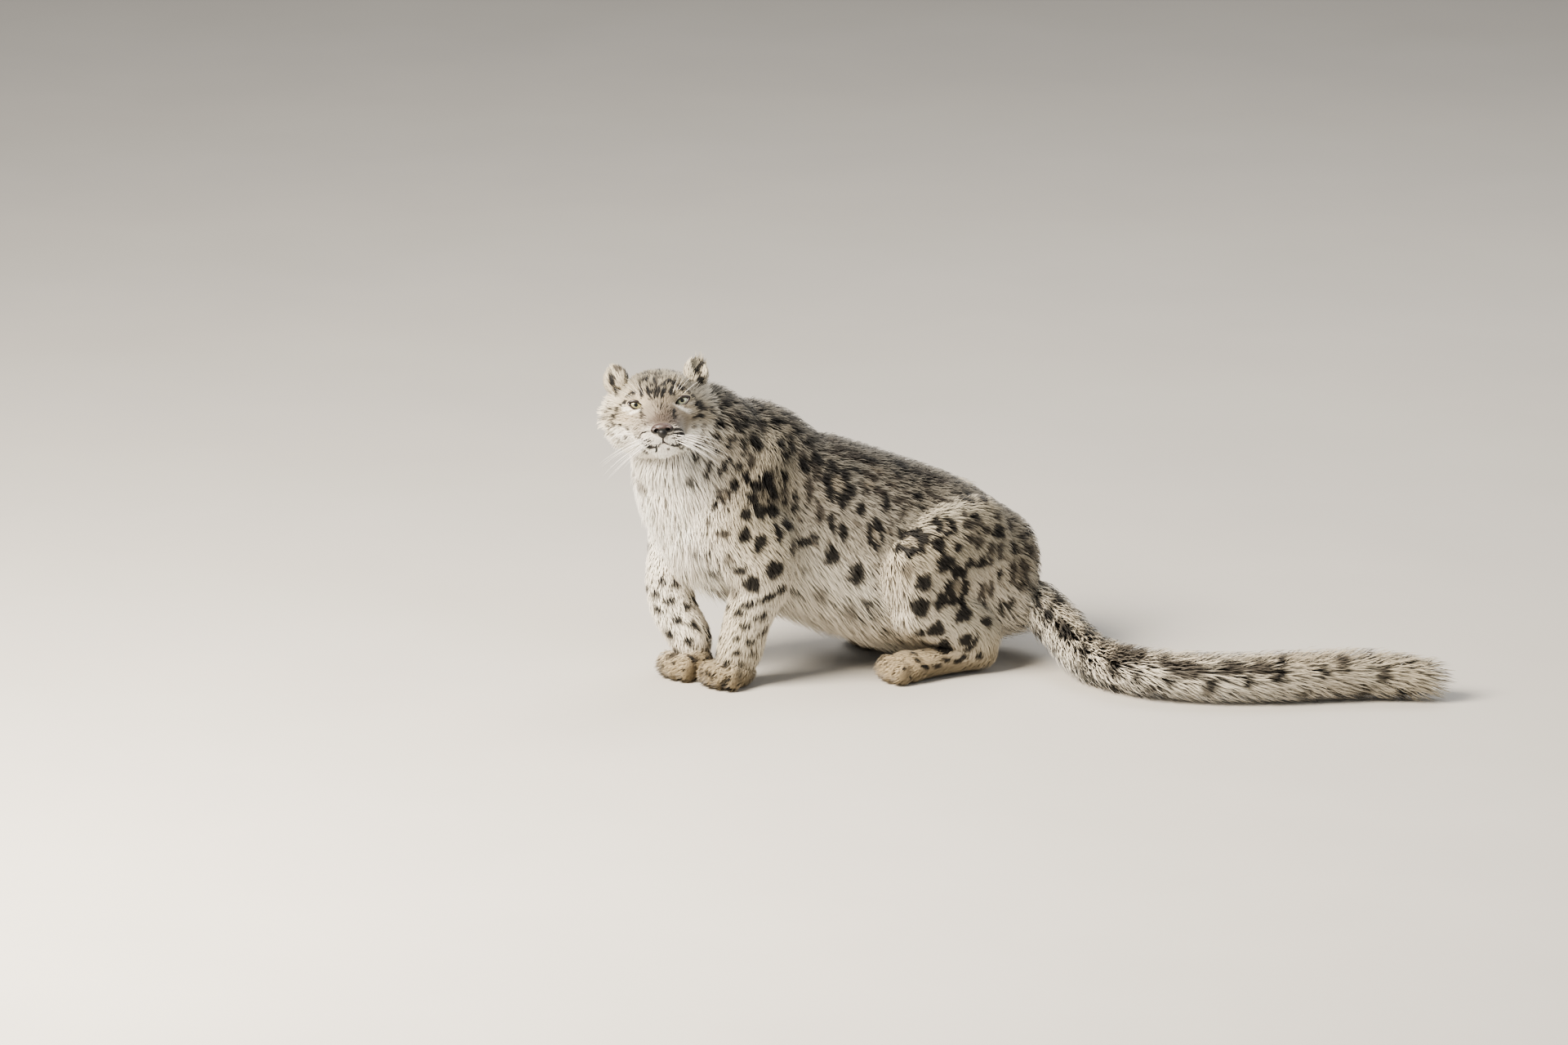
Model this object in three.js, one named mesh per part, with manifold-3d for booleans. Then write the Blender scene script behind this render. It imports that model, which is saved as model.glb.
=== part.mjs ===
// A snow leopard at life size, crouched: forelegs standing, hind legs folded under the body,
// head turned to its left, tail swept round on the ground.
// Millimetres. +Z is up and the floor is z = 0. The head is towards -X, the tail towards +X,
// and the animal's left side faces -Y.
import * as THREE from "three";
import { mergeVertices } from "three/addons/utils/BufferGeometryUtils.js";
import Module from "manifold-3d";

const wasm = await Module();
wasm.setup();

// Gap between touching pieces, and the depth that the floor cutter reaches down.
const GAP = 0.3;
const FLOOR_DEPTH = 200;
const HALF_TURN = Math.PI;

// Reference directions for the first size of a station.
const ACROSS = new THREE.Vector3(0, 1, 0);
const UPWARDS = new THREE.Vector3(0, 0, 1);
const FORWARDS = new THREE.Vector3(1, 0, 0);

// Stations are [x, y, z, first half size, second half size]. The first size is measured along the
// form's reference direction, the second at right angles to it and to the form's own line.
const TORSO = [
  [-335, -38, 318, 88, 108],
  [-290, -20, 318, 108, 146],
  [-230, -2, 325, 112, 169],
  [-156, 4, 289, 118, 154],
  [-74, 2, 258, 126, 156],
  [10, -6, 226, 134, 156],
  [90, -12, 199, 136, 153],
  [170, -14, 178, 128, 134],
  [240, -12, 160, 106, 108],
];
const TORSO_DOMES = [46, 78];
// A little less depth under the long hair of the chest.
const TORSO_SWELLS = [[-350, 0, 290, 90, -12]];
// Where the torso is parted: [x of the cut, lean of the cut in degrees].
const CHEST_CUT = -85;
const RUMP_CUT = 105;

const NECK = [
  [-372, -52, 462, 84, 84],
  [-334, -32, 436, 104, 112],
  [-299, -16, 393, 118, 127],
  [-278, -4, 340, 120, 126],
];
const NECK_DOMES = [30, 60];

// The left foreleg stands; the right one steps across in front of it.
const FORELEGS = {
  left: {
    shoulder: [
      [-190, -60, 414, 34, 46],
      [-236, -82, 368, 46, 68],
      [-260, -96, 312, 51, 76],
      [-232, -104, 250, 52, 74],
      [-212, -106, 198, 47, 56],
    ],
    forearm: [
      [-211, -106, 200, 46, 54],
      [-227, -101, 160, 44, 49],
      [-239, -92, 114, 42, 43],
      [-244, -80, 69, 41, 42],
      [-250, -74, 44, 36, 41],
    ],
    paw: { at: [-256, -74, 25], turn: 26 },
  },
  right: {
    shoulder: [
      [-236, 62, 414, 34, 46],
      [-280, 78, 362, 44, 60],
      [-292, 83, 306, 46, 59],
      [-300, 84, 250, 45, 51],
      [-304, 79, 202, 42, 46],
    ],
    forearm: [
      [-308, 79, 202, 41, 46],
      [-320, 66, 162, 40, 46],
      [-321, 43, 116, 37, 44],
      [-302, 20, 72, 37, 40],
      [-294, 11, 46, 34, 38],
    ],
    paw: { at: [-300, 4, 25], turn: 14 },
  },
};

// Folded hind legs: thigh forward, shank back, foot flat on the ground.
const THIGH = [
  [196, -84, 216, 52, 96],
  [150, -104, 214, 56, 100],
  [96, -122, 206, 56, 94],
  [40, -134, 184, 50, 76],
];
const SHANK = [
  [44, -132, 150, 46, 62],
  [96, -130, 122, 44, 60],
  [150, -126, 92, 38, 50],
  [194, -122, 60, 30, 38],
];
const HIND_FOOT = [
  [200, -122, 40, 28, 34],
  [150, -126, 32, 28, 28],
  [96, -132, 28, 32, 27],
  [60, -136, 26, 38, 26],
];
const HIND_TOES = { at: [46, -137, 24], turn: 6 };
// Half lengths of the paws: along, across and up.
const FOREPAW_SIZE = [54, 40, 30];
const HIND_PAW_SIZE = [52, 40, 28];
const SPINE_Y = -16;
// How far the right hind leg's parts are set back from the left one's.
const RIGHT_BACK = { thigh: 16, shank: 30, foot: 44 };

const TAIL = [
  [250, 6, 158, 50, 52],
  [298, -46, 114, 48, 50],
  [324, -132, 76, 47, 48],
  [334, -236, 49, 48, 48],
  [368, -346, 48, 48, 48],
  [440, -416, 48, 48, 48],
  [536, -458, 48, 48, 48],
  [640, -480, 48, 48, 48],
  [738, -498, 47, 47, 47],
  [818, -532, 44, 42, 42],
];
const TAIL_PARTS = 5;

// The head's own frame: origin midway between the eyeballs, x forward, y to its left, z up.
const HEAD_AT = [-411, -105, 515];
const VIEW_TURN = 22;
const VIEW_RISE = 14;
const HEAD_YAW = 1.2;
const HEAD_ROLL = 6.5;
const EYE_SPREAD = 39.5;
const EYE_FORWARD = 3;
const EYE_RADIUS = 15.5;
const LID_THICKNESS = 3.2;

// The head and muzzle in one form, in the head's own frame.
const HEAD_STATIONS = [
  [-118, 0, -12, 60, 56],
  [-86, 0, -10, 78, 68],
  [-48, 0, -15, 88, 74],
  [-16, 0, -22, 80, 72],
  [8, 0, -32, 61, 62],
  [28, 0, -43, 45, 47],
  [46, 0, -53, 38, 38],
  [62, 0, -60, 33, 32],
];
const HEAD_DOMES = [26, 9];
// Swells and hollows of the face: [x, y, z, reach, push]. A y above zero stands for both sides.
const FACE = [
  [-30, 84, -52, 36, 9],
  [4, 50, -38, 22, 5],
  [2, 34, 21, 18, 6],
  [16, 38, -2, 17, -7],
  [27, 23, -4, 15, -8],
  [58, 19, -62, 15, 7],
  [32, 32, -62, 16, 3],
  [52, 0, -98, 17, 10],
  [46, 0, -18, 14, 4],
  [10, 0, 30, 26, -3],
];

// Patches of locks. Where: rows and count of locks, from one share of the form's line to another,
// between two turns round it. Size: length, width, thickness, lift off the skin, depth of the root
// and sag of the tip. Droop turns the lie of the hair downwards.
const TURN = 2 * HALF_TURN;
const RUFF = {
  ...{ rows: 2, count: 5, from: 0.27, to: 0.4, forward: -1, seed: 3 },
  ...{ length: 54, width: 26, thick: 8, lift: 14, sink: 14, sag: 6 },
};
const CHEEK_TURNS = [
  [0.99 * TURN, 0.81 * TURN],
  [0.51 * TURN, 0.69 * TURN],
];
const THROAT = {
  ...{ rows: 4, count: 8, from: 0.06, to: 1, turns: [0.4 * TURN, 1.1 * TURN], seed: 5 },
  ...{ length: 88, width: 50, thick: 11, lift: 17, sink: 18, sag: 4, droop: 0.25 },
};
const BIB = {
  ...{ rows: 2, count: 5, from: 0.04, to: 0.26, turns: [0.6 * TURN, 0.9 * TURN], seed: 7 },
  ...{ length: 84, width: 44, thick: 12, lift: 14, sink: 18, sag: 8, droop: 1.2 },
};
const FRINGE = {
  ...{ rows: 4, count: 6, from: 0.36, to: 0.74, turns: [0.6 * TURN, 0.9 * TURN], seed: 11 },
  ...{ length: 80, width: 52, thick: 15, lift: 14, sink: 20, sag: 22, droop: 0.5 },
};
const SEAT = {
  ...{ rows: 2, count: 4, from: 0.84, to: 0.97, turns: [0.6 * TURN, 0.9 * TURN], seed: 13 },
  ...{ length: 64, width: 38, thick: 12, lift: 12, sink: 18, sag: 16, droop: 0.4 },
};
const BRUSH = {
  ...{ rows: 2, count: 6, turns: [0, TURN], seed: 17 },
  ...{ length: 104, width: 50, thick: 11, lift: 16, sink: 13, sag: 0 },
};
// How much less than the full depth of the coat the neck and the tail have under their locks.
const NECK_CORE = -14;
const TAIL_CORE = -16;

const radians = THREE.MathUtils.degToRad;

/** A closed three.js geometry as a solid that can be joined and cut. */
function solidOf(geometry) {
  const bare = geometry.clone();
  for (const name of ["normal", "uv"]) bare.deleteAttribute(name);
  const merged = mergeVertices(bare, 1e-4);
  return new wasm.Manifold(
    new wasm.Mesh({
      numProp: 3,
      vertProperties: new Float32Array(merged.attributes.position.array),
      triVerts: new Uint32Array(merged.index.array),
    }),
  );
}

/** A solid as a three.js geometry. */
function geometryOf(solid) {
  const mesh = solid.getMesh();
  const geometry = new THREE.BufferGeometry();
  geometry.setAttribute("position", new THREE.BufferAttribute(mesh.vertProperties, 3));
  geometry.setIndex(new THREE.BufferAttribute(mesh.triVerts, 1));
  geometry.computeVertexNormals();
  return geometry;
}

/** The largest of the closed surfaces that a solid falls into. */
function largest(solid) {
  return solid.decompose().sort((a, b) => b.volume() - a.volume())[0];
}

function union(solids) {
  return wasm.Manifold.union(solids);
}

/**
 * A closed tube of rings with a point at each end. ringAt(ring) gives the ring's centre and its two
 * half sizes as vectors; the third direction, from first ring to last, is the cross of the two.
 */
function tube(around, along, ringAt, shape = () => {}) {
  const geometry = new THREE.SphereGeometry(1, around, along);
  const place = geometry.attributes.position;
  for (let ring = 0; ring <= along; ring++) {
    const { centre, first, second } = ringAt(ring);
    for (let step = 0; step <= around; step++) {
      const turn = (2 * HALF_TURN * step) / around;
      const point = centre.clone().addScaledVector(first, -Math.cos(turn));
      point.addScaledVector(second, Math.sin(turn));
      shape(point, centre);
      place.setXYZ(ring * (around + 1) + step, point.x, point.y, point.z);
    }
  }
  return solidOf(geometry);
}

/** The centre, directions and half sizes of a form at a share of its line. */
function sectionAt(stations, ref, share) {
  const line = new THREE.CatmullRomCurve3(stations.map((s) => new THREE.Vector3(s[0], s[1], s[2])));
  const sizes = new THREE.CatmullRomCurve3(stations.map((s) => new THREE.Vector3(s[3], s[4], 0)));
  const tangent = line.getTangent(share);
  const first = ref.clone().addScaledVector(tangent, -ref.dot(tangent)).normalize();
  const second = tangent.clone().cross(first);
  return { centre: line.getPoint(share), size: sizes.getPoint(share), tangent, first, second };
}

/** A rounded body that follows the line through its stations, with a dome at each end. */
function form(stations, options = {}) {
  const { ref = ACROSS, domes = [30, 30], around = 16, perSpan = 2, grow = 0, swells = [] } = options;
  const DOME_RINGS = 2;
  const middle = (stations.length - 1) * perSpan;
  const along = middle + 2 * DOME_RINGS;
  const ringAt = (ring) => {
    const share = THREE.MathUtils.clamp((ring - DOME_RINGS) / middle, 0, 1);
    const { centre, size, tangent, first, second } = sectionAt(stations, ref, share);
    const angle = (HALF_TURN / 2) * Math.min(1, Math.min(ring, along - ring) / DOME_RINGS);
    const end = share < 0.5 ? 0 : 1;
    centre.addScaledVector(tangent, (end ? 1 : -1) * (domes[end] + grow) * Math.cos(angle));
    first.multiplyScalar((size.x + grow) * Math.sin(angle));
    second.multiplyScalar((size.y + grow) * Math.sin(angle));
    return { centre, first, second };
  };
  return tube(around, along, ringAt, (point, centre) => swell(point, centre, swells));
}

/** A point of a form's skin, with the way out from it. */
function skinPoint(stations, { ref = ACROSS, grow = 0, swells = [] }, share, turn) {
  const { centre, size, first, second } = sectionAt(stations, ref, share);
  const [across, over] = [-Math.cos(turn), Math.sin(turn)];
  const root = centre
    .clone()
    .addScaledVector(first, across * (size.x + grow))
    .addScaledVector(second, over * (size.y + grow));
  swell(root, centre, swells);
  const out = first.multiplyScalar(across / size.x).addScaledVector(second, over / size.y).normalize();
  return { root, out };
}

/** A point of a form's skin, with the way along the skin from it and the way out. */
function skinAt(stations, options, share, turn) {
  const STEP = 0.03;
  const { root, out } = skinPoint(stations, options, share, turn);
  const before = skinPoint(stations, options, Math.max(0, share - STEP), turn).root;
  const along = skinPoint(stations, options, Math.min(1, share + STEP), turn).root.sub(before).normalize();
  out.addScaledVector(along, -out.dot(along)).normalize();
  return { root, out, along };
}

/**
 * One lock of long hair: flat and tapered, rooted inside the skin, rising along the lie of the coat
 * and bending over to its tip.
 */
function lock({ root, out, lie }, { length, width, thick, lift, sink, sag }, grow) {
  const share = [0, 1, 0.8, 0];
  const path = new THREE.CatmullRomCurve3([
    root.clone().addScaledVector(out, -sink - grow),
    root.clone().addScaledVector(out, lift * 0.45).addScaledVector(lie, length * 0.25),
    root.clone().addScaledVector(out, lift * 0.95).addScaledVector(lie, length * 0.62),
    root.clone().addScaledVector(out, lift).addScaledVector(lie, length + grow),
  ]);
  const rings = share.length - 1;
  const ringAt = (ring) => {
    const centre = path.getPoint(ring / rings);
    centre.z -= sag * (ring / rings) ** 2;
    const tangent = path.getTangent(ring / rings);
    const across = lie.clone().cross(out).normalize();
    const first = across.clone().addScaledVector(tangent, -across.dot(tangent)).normalize();
    const second = tangent.clone().cross(first);
    const part = share[ring];
    const swollen = part > 0 ? grow : 0;
    first.multiplyScalar((width / 2) * part + swollen);
    second.multiplyScalar((thick / 2) * part + swollen);
    return { centre, first, second };
  };
  return tube(4, rings, ringAt);
}

/** A repeatable stream of numbers from 0 to 1. */
function randomFrom(seed) {
  let state = seed;
  return () => {
    state = (state * 1664525 + 1013904223) % 4294967296;
    return state / 4294967296;
  };
}

/**
 * Rows of locks over a patch of a form. The patch runs between two shares of the form's line and
 * two turns round it. The lie is the way along the skin, turned down by the patch's droop.
 */
function locks(stations, options, patch, grow) {
  const random = randomFrom(patch.seed);
  const made = [];
  for (let row = 0; row < patch.rows; row++) {
    for (let column = 0; column < patch.count; column++) {
      const stagger = row % 2 ? 0.5 : 0;
      const place = (column + 0.25 + stagger + 0.3 * (random() - 0.5)) / (patch.count + 0.25);
      const depth = (row + 0.3 * random()) / Math.max(1, patch.rows - 0.7);
      const share = THREE.MathUtils.lerp(patch.from, patch.to, depth);
      const turn = THREE.MathUtils.lerp(patch.turns[0], patch.turns[1], place);
      const { root, out, along } = skinAt(stations, options, share, turn);
      const lie = along.clone().multiplyScalar(patch.forward ?? 1);
      lie.z -= patch.droop ?? 0;
      lie.addScaledVector(out, -out.dot(lie));
      lie.addScaledVector(lie.clone().cross(out), (random() - 0.5) * 0.5).normalize();
      const length = patch.length * (0.85 + 0.3 * random());
      const lift = patch.lift * (0.75 + 0.5 * random());
      made.push(lock({ root, out, lie }, { ...patch, length, lift }, grow));
    }
  }
  return made;
}

/** Moves a point of a form's skin out or in, where it is near the middle of a swell. */
function swell(point, centre, swells) {
  const out = point.clone().sub(centre).normalize();
  let push = 0;
  for (const [x, y, z, reach, height] of swells) {
    const distance = Math.hypot(point.x - x, Math.abs(point.y) - y, point.z - z);
    push += height * Math.exp(-((distance / reach) ** 2));
  }
  point.addScaledVector(out, push);
}

/** An ellipsoid with its half sizes along x, y and z, turned about z in degrees. */
function ball(at, half, { turn = 0, grow = 0, around = 16, along = 10 } = {}) {
  const geometry = new THREE.SphereGeometry(1, around, along);
  geometry.scale(half[0] + grow, half[1] + grow, half[2] + grow);
  geometry.rotateZ(radians(turn));
  geometry.translate(...at);
  return solidOf(geometry);
}

/** Turns the head's own frame into the part's. */
function headMatrix() {
  const [turn, rise, yaw, roll] = [VIEW_TURN, VIEW_RISE, HEAD_YAW, HEAD_ROLL].map(radians);
  const back = new THREE.Vector3(-Math.sin(turn), -Math.cos(turn), 0).multiplyScalar(Math.cos(rise));
  back.z = Math.sin(rise);
  const right = new THREE.Vector3(Math.cos(turn), -Math.sin(turn), 0);
  const up = back.clone().cross(right);
  const forward = back.clone().multiplyScalar(Math.cos(yaw)).addScaledVector(right, Math.sin(yaw));
  const level = right.clone().multiplyScalar(Math.cos(yaw)).addScaledVector(back, -Math.sin(yaw));
  const left = level.clone().multiplyScalar(Math.cos(roll)).addScaledVector(up, Math.sin(roll));
  const top = up.clone().multiplyScalar(Math.cos(roll)).addScaledVector(level, -Math.sin(roll));
  return new THREE.Matrix4().makeBasis(forward, left, top).setPosition(...HEAD_AT);
}

const HEAD = headMatrix();
const inPart = (solid) => solid.transform(HEAD.elements);

const bothSides = (make) => union([make(1), make(-1)]);

/** The head and muzzle without lids, ruff or mouth. */
function skull(grow) {
  return form(HEAD_STATIONS, { domes: HEAD_DOMES, around: 26, perSpan: 2, grow, swells: FACE });
}

function eyeball(side, grow) {
  const half = [EYE_RADIUS, EYE_RADIUS, EYE_RADIUS];
  return ball([EYE_FORWARD, side * EYE_SPREAD, 0], half, { grow, around: 16, along: 8 });
}

/** The opening between the lids: an almond, pushed out along the line of sight. */
function lidOpening(side) {
  const [half, rise, fall, depth, tilt] = [12.5, 7.5, 6.5, 40, 10];
  const almond = new THREE.Shape();
  almond.moveTo(-half, 0);
  almond.quadraticCurveTo(0, 2 * rise, half, 0);
  almond.quadraticCurveTo(0, -2 * fall, -half, 0);
  const geometry = new THREE.ExtrudeGeometry(almond, { depth, bevelEnabled: false, curveSegments: 8 });
  geometry.rotateZ(radians(tilt * side));
  const stand = new THREE.Matrix4().makeBasis(ACROSS, UPWARDS, FORWARDS);
  geometry.applyMatrix4(stand.setPosition(4, side * EYE_SPREAD, 0));
  return solidOf(geometry);
}

function noseForm(grow) {
  return union([
    ball([68, 0, -43], [13, 20, 9.5], { grow, around: 12, along: 7 }),
    ball([70, 0, -52], [10, 9, 10], { grow, around: 10, along: 6 }),
  ]);
}

function nostrils() {
  const half = [8, 4.5, 3];
  return bothSides((side) => ball([79, side * 10.5, -47], half, { turn: side * 30, around: 6, along: 5 }));
}

/** The thin slot between the lips, back to the corners of the mouth, and the groove above it. */
function mouthLine() {
  const slots = bothSides((side) => {
    const line = [
      [74, 0, -67, 1.3, 9],
      [68, side * 16, -72, 1.3, 9],
      [50, side * 32, -79, 1.3, 9],
      [30, side * 42, -80, 1.1, 9],
    ];
    return form(line, { ref: UPWARDS, domes: [2, 2], around: 6, perSpan: 2 });
  });
  const groove = [
    [76, 0, -54, 8, 1.1],
    [76, 0, -68, 8, 1.1],
  ];
  return union([slots, form(groove, { ref: FORWARDS, domes: [1, 1], around: 6, perSpan: 1 })]);
}

function headForm(grow) {
  const lids = bothSides((side) => eyeball(side, LID_THICKNESS + grow));
  return inPart(union([skull(grow), lids]));
}

/** The locks of the cheek ruff, on both sides. */
function ruff(grow) {
  const halves = CHEEK_TURNS.map((turns) => locks(HEAD_STATIONS, { swells: FACE }, { ...RUFF, turns }, grow));
  return halves.flat().map(inPart);
}

/** Cuts the sockets, the openings of the lids and the mouth into the head. */
function headDetail(solid) {
  const cutters = union([
    bothSides((side) => eyeball(side, GAP)),
    bothSides(lidOpening),
    mouthLine(),
  ]);
  return solid.subtract(inPart(cutters));
}

/** An ear: a rounded shell, open to the front and a little outwards. */
function ear(side, grow) {
  const shell = ball([0, 0, 0], [13, 23, 30], { grow, around: 12, along: 8 });
  const hollow = ball([10, 0, 4], [15, 17.5, 25], { around: 12, along: 8 });
  const cup = grow ? shell : shell.subtract(hollow);
  const turned = cup.rotate([side * -14, -14, side * 32]);
  return inPart(turned.translate([-50, side * 68, 52]));
}

/** A paw: palm and four toes, facing -X before it is turned about z. */
function paw({ at, turn }, size, grow) {
  const [length, width, height] = size;
  const toes = [-1.5, -0.5, 0.5, 1.5].map((place) => {
    const middleOf = [-length * (0.62 - 0.07 * place * place), place * width * 0.46, -height * 0.1];
    const half = [length * 0.44, width * 0.31, height * 0.86];
    return ball(middleOf, half, { turn: place * -9, grow, around: 8, along: 4 });
  });
  const palm = ball([0, 0, 0], [length * 0.78, width * 0.98, height], { grow, around: 10, along: 6 });
  return union([palm, ...toes]).rotate([0, 0, turn]).translate(at);
}

// The right hind leg is the left one mirrored about the rump's middle and set back a little.
function mirrored(stations, side, back) {
  if (side < 0) return stations;
  return stations.map(([x, y, ...rest]) => [x + back, 2 * SPINE_Y - y, ...rest]);
}

const placed = [];

/**
 * Adds a node. Its form is cut clear of every node placed before it; its hair, if it has any, is
 * made once every form is in place.
 */
function place(name, make, { finish = (solid) => solid, hair = null } = {}) {
  let solid = make(0);
  for (const other of placed) solid = solid.subtract(other.grown);
  placed.push({ name, solid: finish(solid.subtract(floor)), grown: make(GAP), hair });
}

/** Joins each node's hair to it, clear of the other nodes and of the hair joined before it. */
function growHair() {
  const done = [];
  for (const node of placed) {
    if (node.hair) {
      let coat = union(node.hair(0));
      for (const other of placed) if (other !== node) coat = coat.subtract(other.grown);
      for (const grown of done) coat = coat.subtract(grown);
      done.push(union(node.hair(GAP)));
      node.solid = node.solid.add(coat.subtract(floor));
    }
    node.solid = largest(node.solid);
  }
}

const floor = solidOf(new THREE.BoxGeometry(4000, 4000, FLOOR_DEPTH).translate(0, 0, -FLOOR_DEPTH / 2));

/** The whole trunk, which leaning planes part into chest, belly and rump. */
function torso(grow) {
  return form(TORSO, { domes: TORSO_DOMES, around: 18, perSpan: 2, grow, swells: TORSO_SWELLS });
}
const lean = [Math.cos(radians(16)), 0, -Math.sin(radians(16))];
const cutAt = (x) => lean[0] * x + lean[2] * 250;
const behind = (solid, x) => solid.trimByPlane(lean, cutAt(x) + GAP / 2);
const ahead = (solid, x) => solid.trimByPlane(lean.map((v) => -v), -cutAt(x) + GAP / 2);
const torsoLocks = (patch, grow) => locks(TORSO, { swells: TORSO_SWELLS }, patch, grow);

for (const side of [1, -1]) {
  const name = side > 0 ? "left" : "right";
  place(`eye_${name}`, (grow) => inPart(eyeball(side, grow)));
}
place("nose", (grow) => inPart(noseForm(grow)), {
  finish: (solid) => solid.subtract(inPart(nostrils())),
});
for (const side of [1, -1]) place(`ear_${side > 0 ? "left" : "right"}`, (grow) => ear(side, grow));

for (const [name, leg] of Object.entries(FORELEGS)) {
  const upper = { around: 14, perSpan: 1, domes: [26, 20] };
  const lower = { around: 12, perSpan: 1, domes: [14, 10] };
  place(`shoulder_${name}`, (grow) => form(leg.shoulder, { ...upper, grow }));
  place(`forepaw_${name}`, (grow) => paw(leg.paw, FOREPAW_SIZE, grow));
  place(`forearm_${name}`, (grow) => form(leg.forearm, { ...lower, grow }));
}

for (const side of [-1, 1]) {
  const name = side < 0 ? "left" : "right";
  const lower = { around: 12, perSpan: 1, domes: [30, 18] };
  const sole = { around: 12, perSpan: 1, domes: [20, 14] };
  const toes = { at: mirrored([HIND_TOES.at], side, RIGHT_BACK.foot)[0], turn: -side * HIND_TOES.turn };
  const thigh = mirrored(THIGH, side, RIGHT_BACK.thigh);
  const foot = mirrored(HIND_FOOT, side, RIGHT_BACK.foot);
  const shank = mirrored(SHANK, side, RIGHT_BACK.shank);
  place(`thigh_${name}`, (grow) => form(thigh, { around: 14, domes: [44, 50], grow }));
  place(`hind_foot_${name}`, (grow) =>
    union([form(foot, { ...sole, grow }), paw(toes, HIND_PAW_SIZE, grow)]),
  );
  place(`shank_${name}`, (grow) => form(shank, { ...lower, grow }));
}

place("head", headForm, { finish: headDetail, hair: ruff });
const neckForm = { domes: NECK_DOMES, around: 18, perSpan: 1 };
place("neck", (grow) => form(NECK, { ...neckForm, grow: NECK_CORE + grow }), {
  hair: (grow) => locks(NECK, { grow: NECK_CORE }, THROAT, grow),
});
place("chest", (grow) => ahead(torso(grow), CHEST_CUT), {
  hair: (grow) => torsoLocks(BIB, grow),
});
place("belly", (grow) => behind(ahead(torso(grow), RUMP_CUT), CHEST_CUT), {
  hair: (grow) => torsoLocks(FRINGE, grow),
});
place("rump", (grow) => behind(torso(grow), RUMP_CUT), {
  hair: (grow) => torsoLocks(SEAT, grow),
});

const TAIL_LINE = new THREE.CatmullRomCurve3(TAIL.map((s) => new THREE.Vector3(s[0], s[1], s[2])));
const TAIL_OPTIONS = { ref: UPWARDS, grow: TAIL_CORE };

/** Cuts a solid square across the tail's line and keeps the side that sign points to. */
function acrossTail(solid, share, sign) {
  if (share <= 0 || share >= 1) return solid;
  const at = TAIL_LINE.getPoint(share);
  const normal = TAIL_LINE.getTangent(share).multiplyScalar(sign);
  return solid.trimByPlane(normal.toArray(), at.dot(normal) + GAP / 2);
}

for (let index = 0; index < TAIL_PARTS; index++) {
  const [from, to] = [index / TAIL_PARTS, (index + 1) / TAIL_PARTS];
  const core = (grow) => {
    const shape = { ...TAIL_OPTIONS, domes: [20, 44], around: 10, grow: TAIL_CORE + grow };
    const whole = form(TAIL, shape);
    return acrossTail(acrossTail(whole, from, 1), to, -1);
  };
  const patch = { ...BRUSH, from: from + 0.02, to: to - 0.04, seed: BRUSH.seed + index };
  place(`tail_${index + 1}`, core, { hair: (grow) => locks(TAIL, TAIL_OPTIONS, patch, grow) });
}
growHair();

const FUR = new THREE.MeshStandardMaterial({ color: 0xb5a78e, roughness: 0.9, metalness: 0 });
const SKIN = new THREE.MeshStandardMaterial({ color: 0x6b4a44, roughness: 0.5, metalness: 0 });
const EYE = new THREE.MeshStandardMaterial({ color: 0x9fa79a, roughness: 0.1, metalness: 0 });
const materialOf = (name) => (name.startsWith("eye") ? EYE : name === "nose" ? SKIN : FUR);

const leopard = new THREE.Group();
for (const { name, solid } of placed) {
  const mesh = new THREE.Mesh(geometryOf(solid), materialOf(name));
  mesh.name = name;
  leopard.add(mesh);
}

// The origin is moved to the middle of the bottom of the whole figure.
const extent = new THREE.Box3().setFromObject(leopard);
const middle = extent.getCenter(new THREE.Vector3());
leopard.position.set(-middle.x, -middle.y, -extent.min.z);
export default leopard;
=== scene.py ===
"""A snow leopard at life size, crouched, with its head turned and its tail round on the ground.

One skin, with eyes, nose, lids, lips and whiskers, under a coat of solid tufts. The skin, the
eyes and the nose take the place of the plain solids.
"""

import logging
import math
from dataclasses import dataclass, replace
from enum import Enum

import bmesh
import bpy
import numpy as np
from mathutils import Matrix, Vector
from mathutils.bvhtree import BVHTree


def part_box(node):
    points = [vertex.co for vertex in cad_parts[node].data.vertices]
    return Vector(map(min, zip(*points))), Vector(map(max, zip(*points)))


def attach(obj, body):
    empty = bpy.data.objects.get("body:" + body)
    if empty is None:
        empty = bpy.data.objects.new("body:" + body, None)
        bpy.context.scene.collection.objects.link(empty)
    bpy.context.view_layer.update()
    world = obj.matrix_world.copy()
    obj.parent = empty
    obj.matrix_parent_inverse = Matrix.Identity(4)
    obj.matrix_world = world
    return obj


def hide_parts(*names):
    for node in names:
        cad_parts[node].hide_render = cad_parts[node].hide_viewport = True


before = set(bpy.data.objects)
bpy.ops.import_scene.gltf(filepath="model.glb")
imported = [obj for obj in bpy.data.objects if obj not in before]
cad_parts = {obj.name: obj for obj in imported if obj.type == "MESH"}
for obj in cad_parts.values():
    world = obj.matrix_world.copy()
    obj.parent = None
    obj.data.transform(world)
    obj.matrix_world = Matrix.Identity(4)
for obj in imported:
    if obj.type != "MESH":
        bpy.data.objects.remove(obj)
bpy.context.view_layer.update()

log = logging.getLogger("snow_leopard")

Array = np.ndarray
Piece = bpy.types.Object
Mesh = bpy.types.Mesh
Material = bpy.types.Material
Node = bpy.types.ShaderNode
NodeTree = bpy.types.ShaderNodeTree
Rows = tuple[tuple[float, ...], ...]
Colour = tuple[float, float, float]

MM = 0.001
SMOOTHING = 0.5
THINNEST_TUBE = 0.02
COLOUR_LAYER = "Coat"

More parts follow.
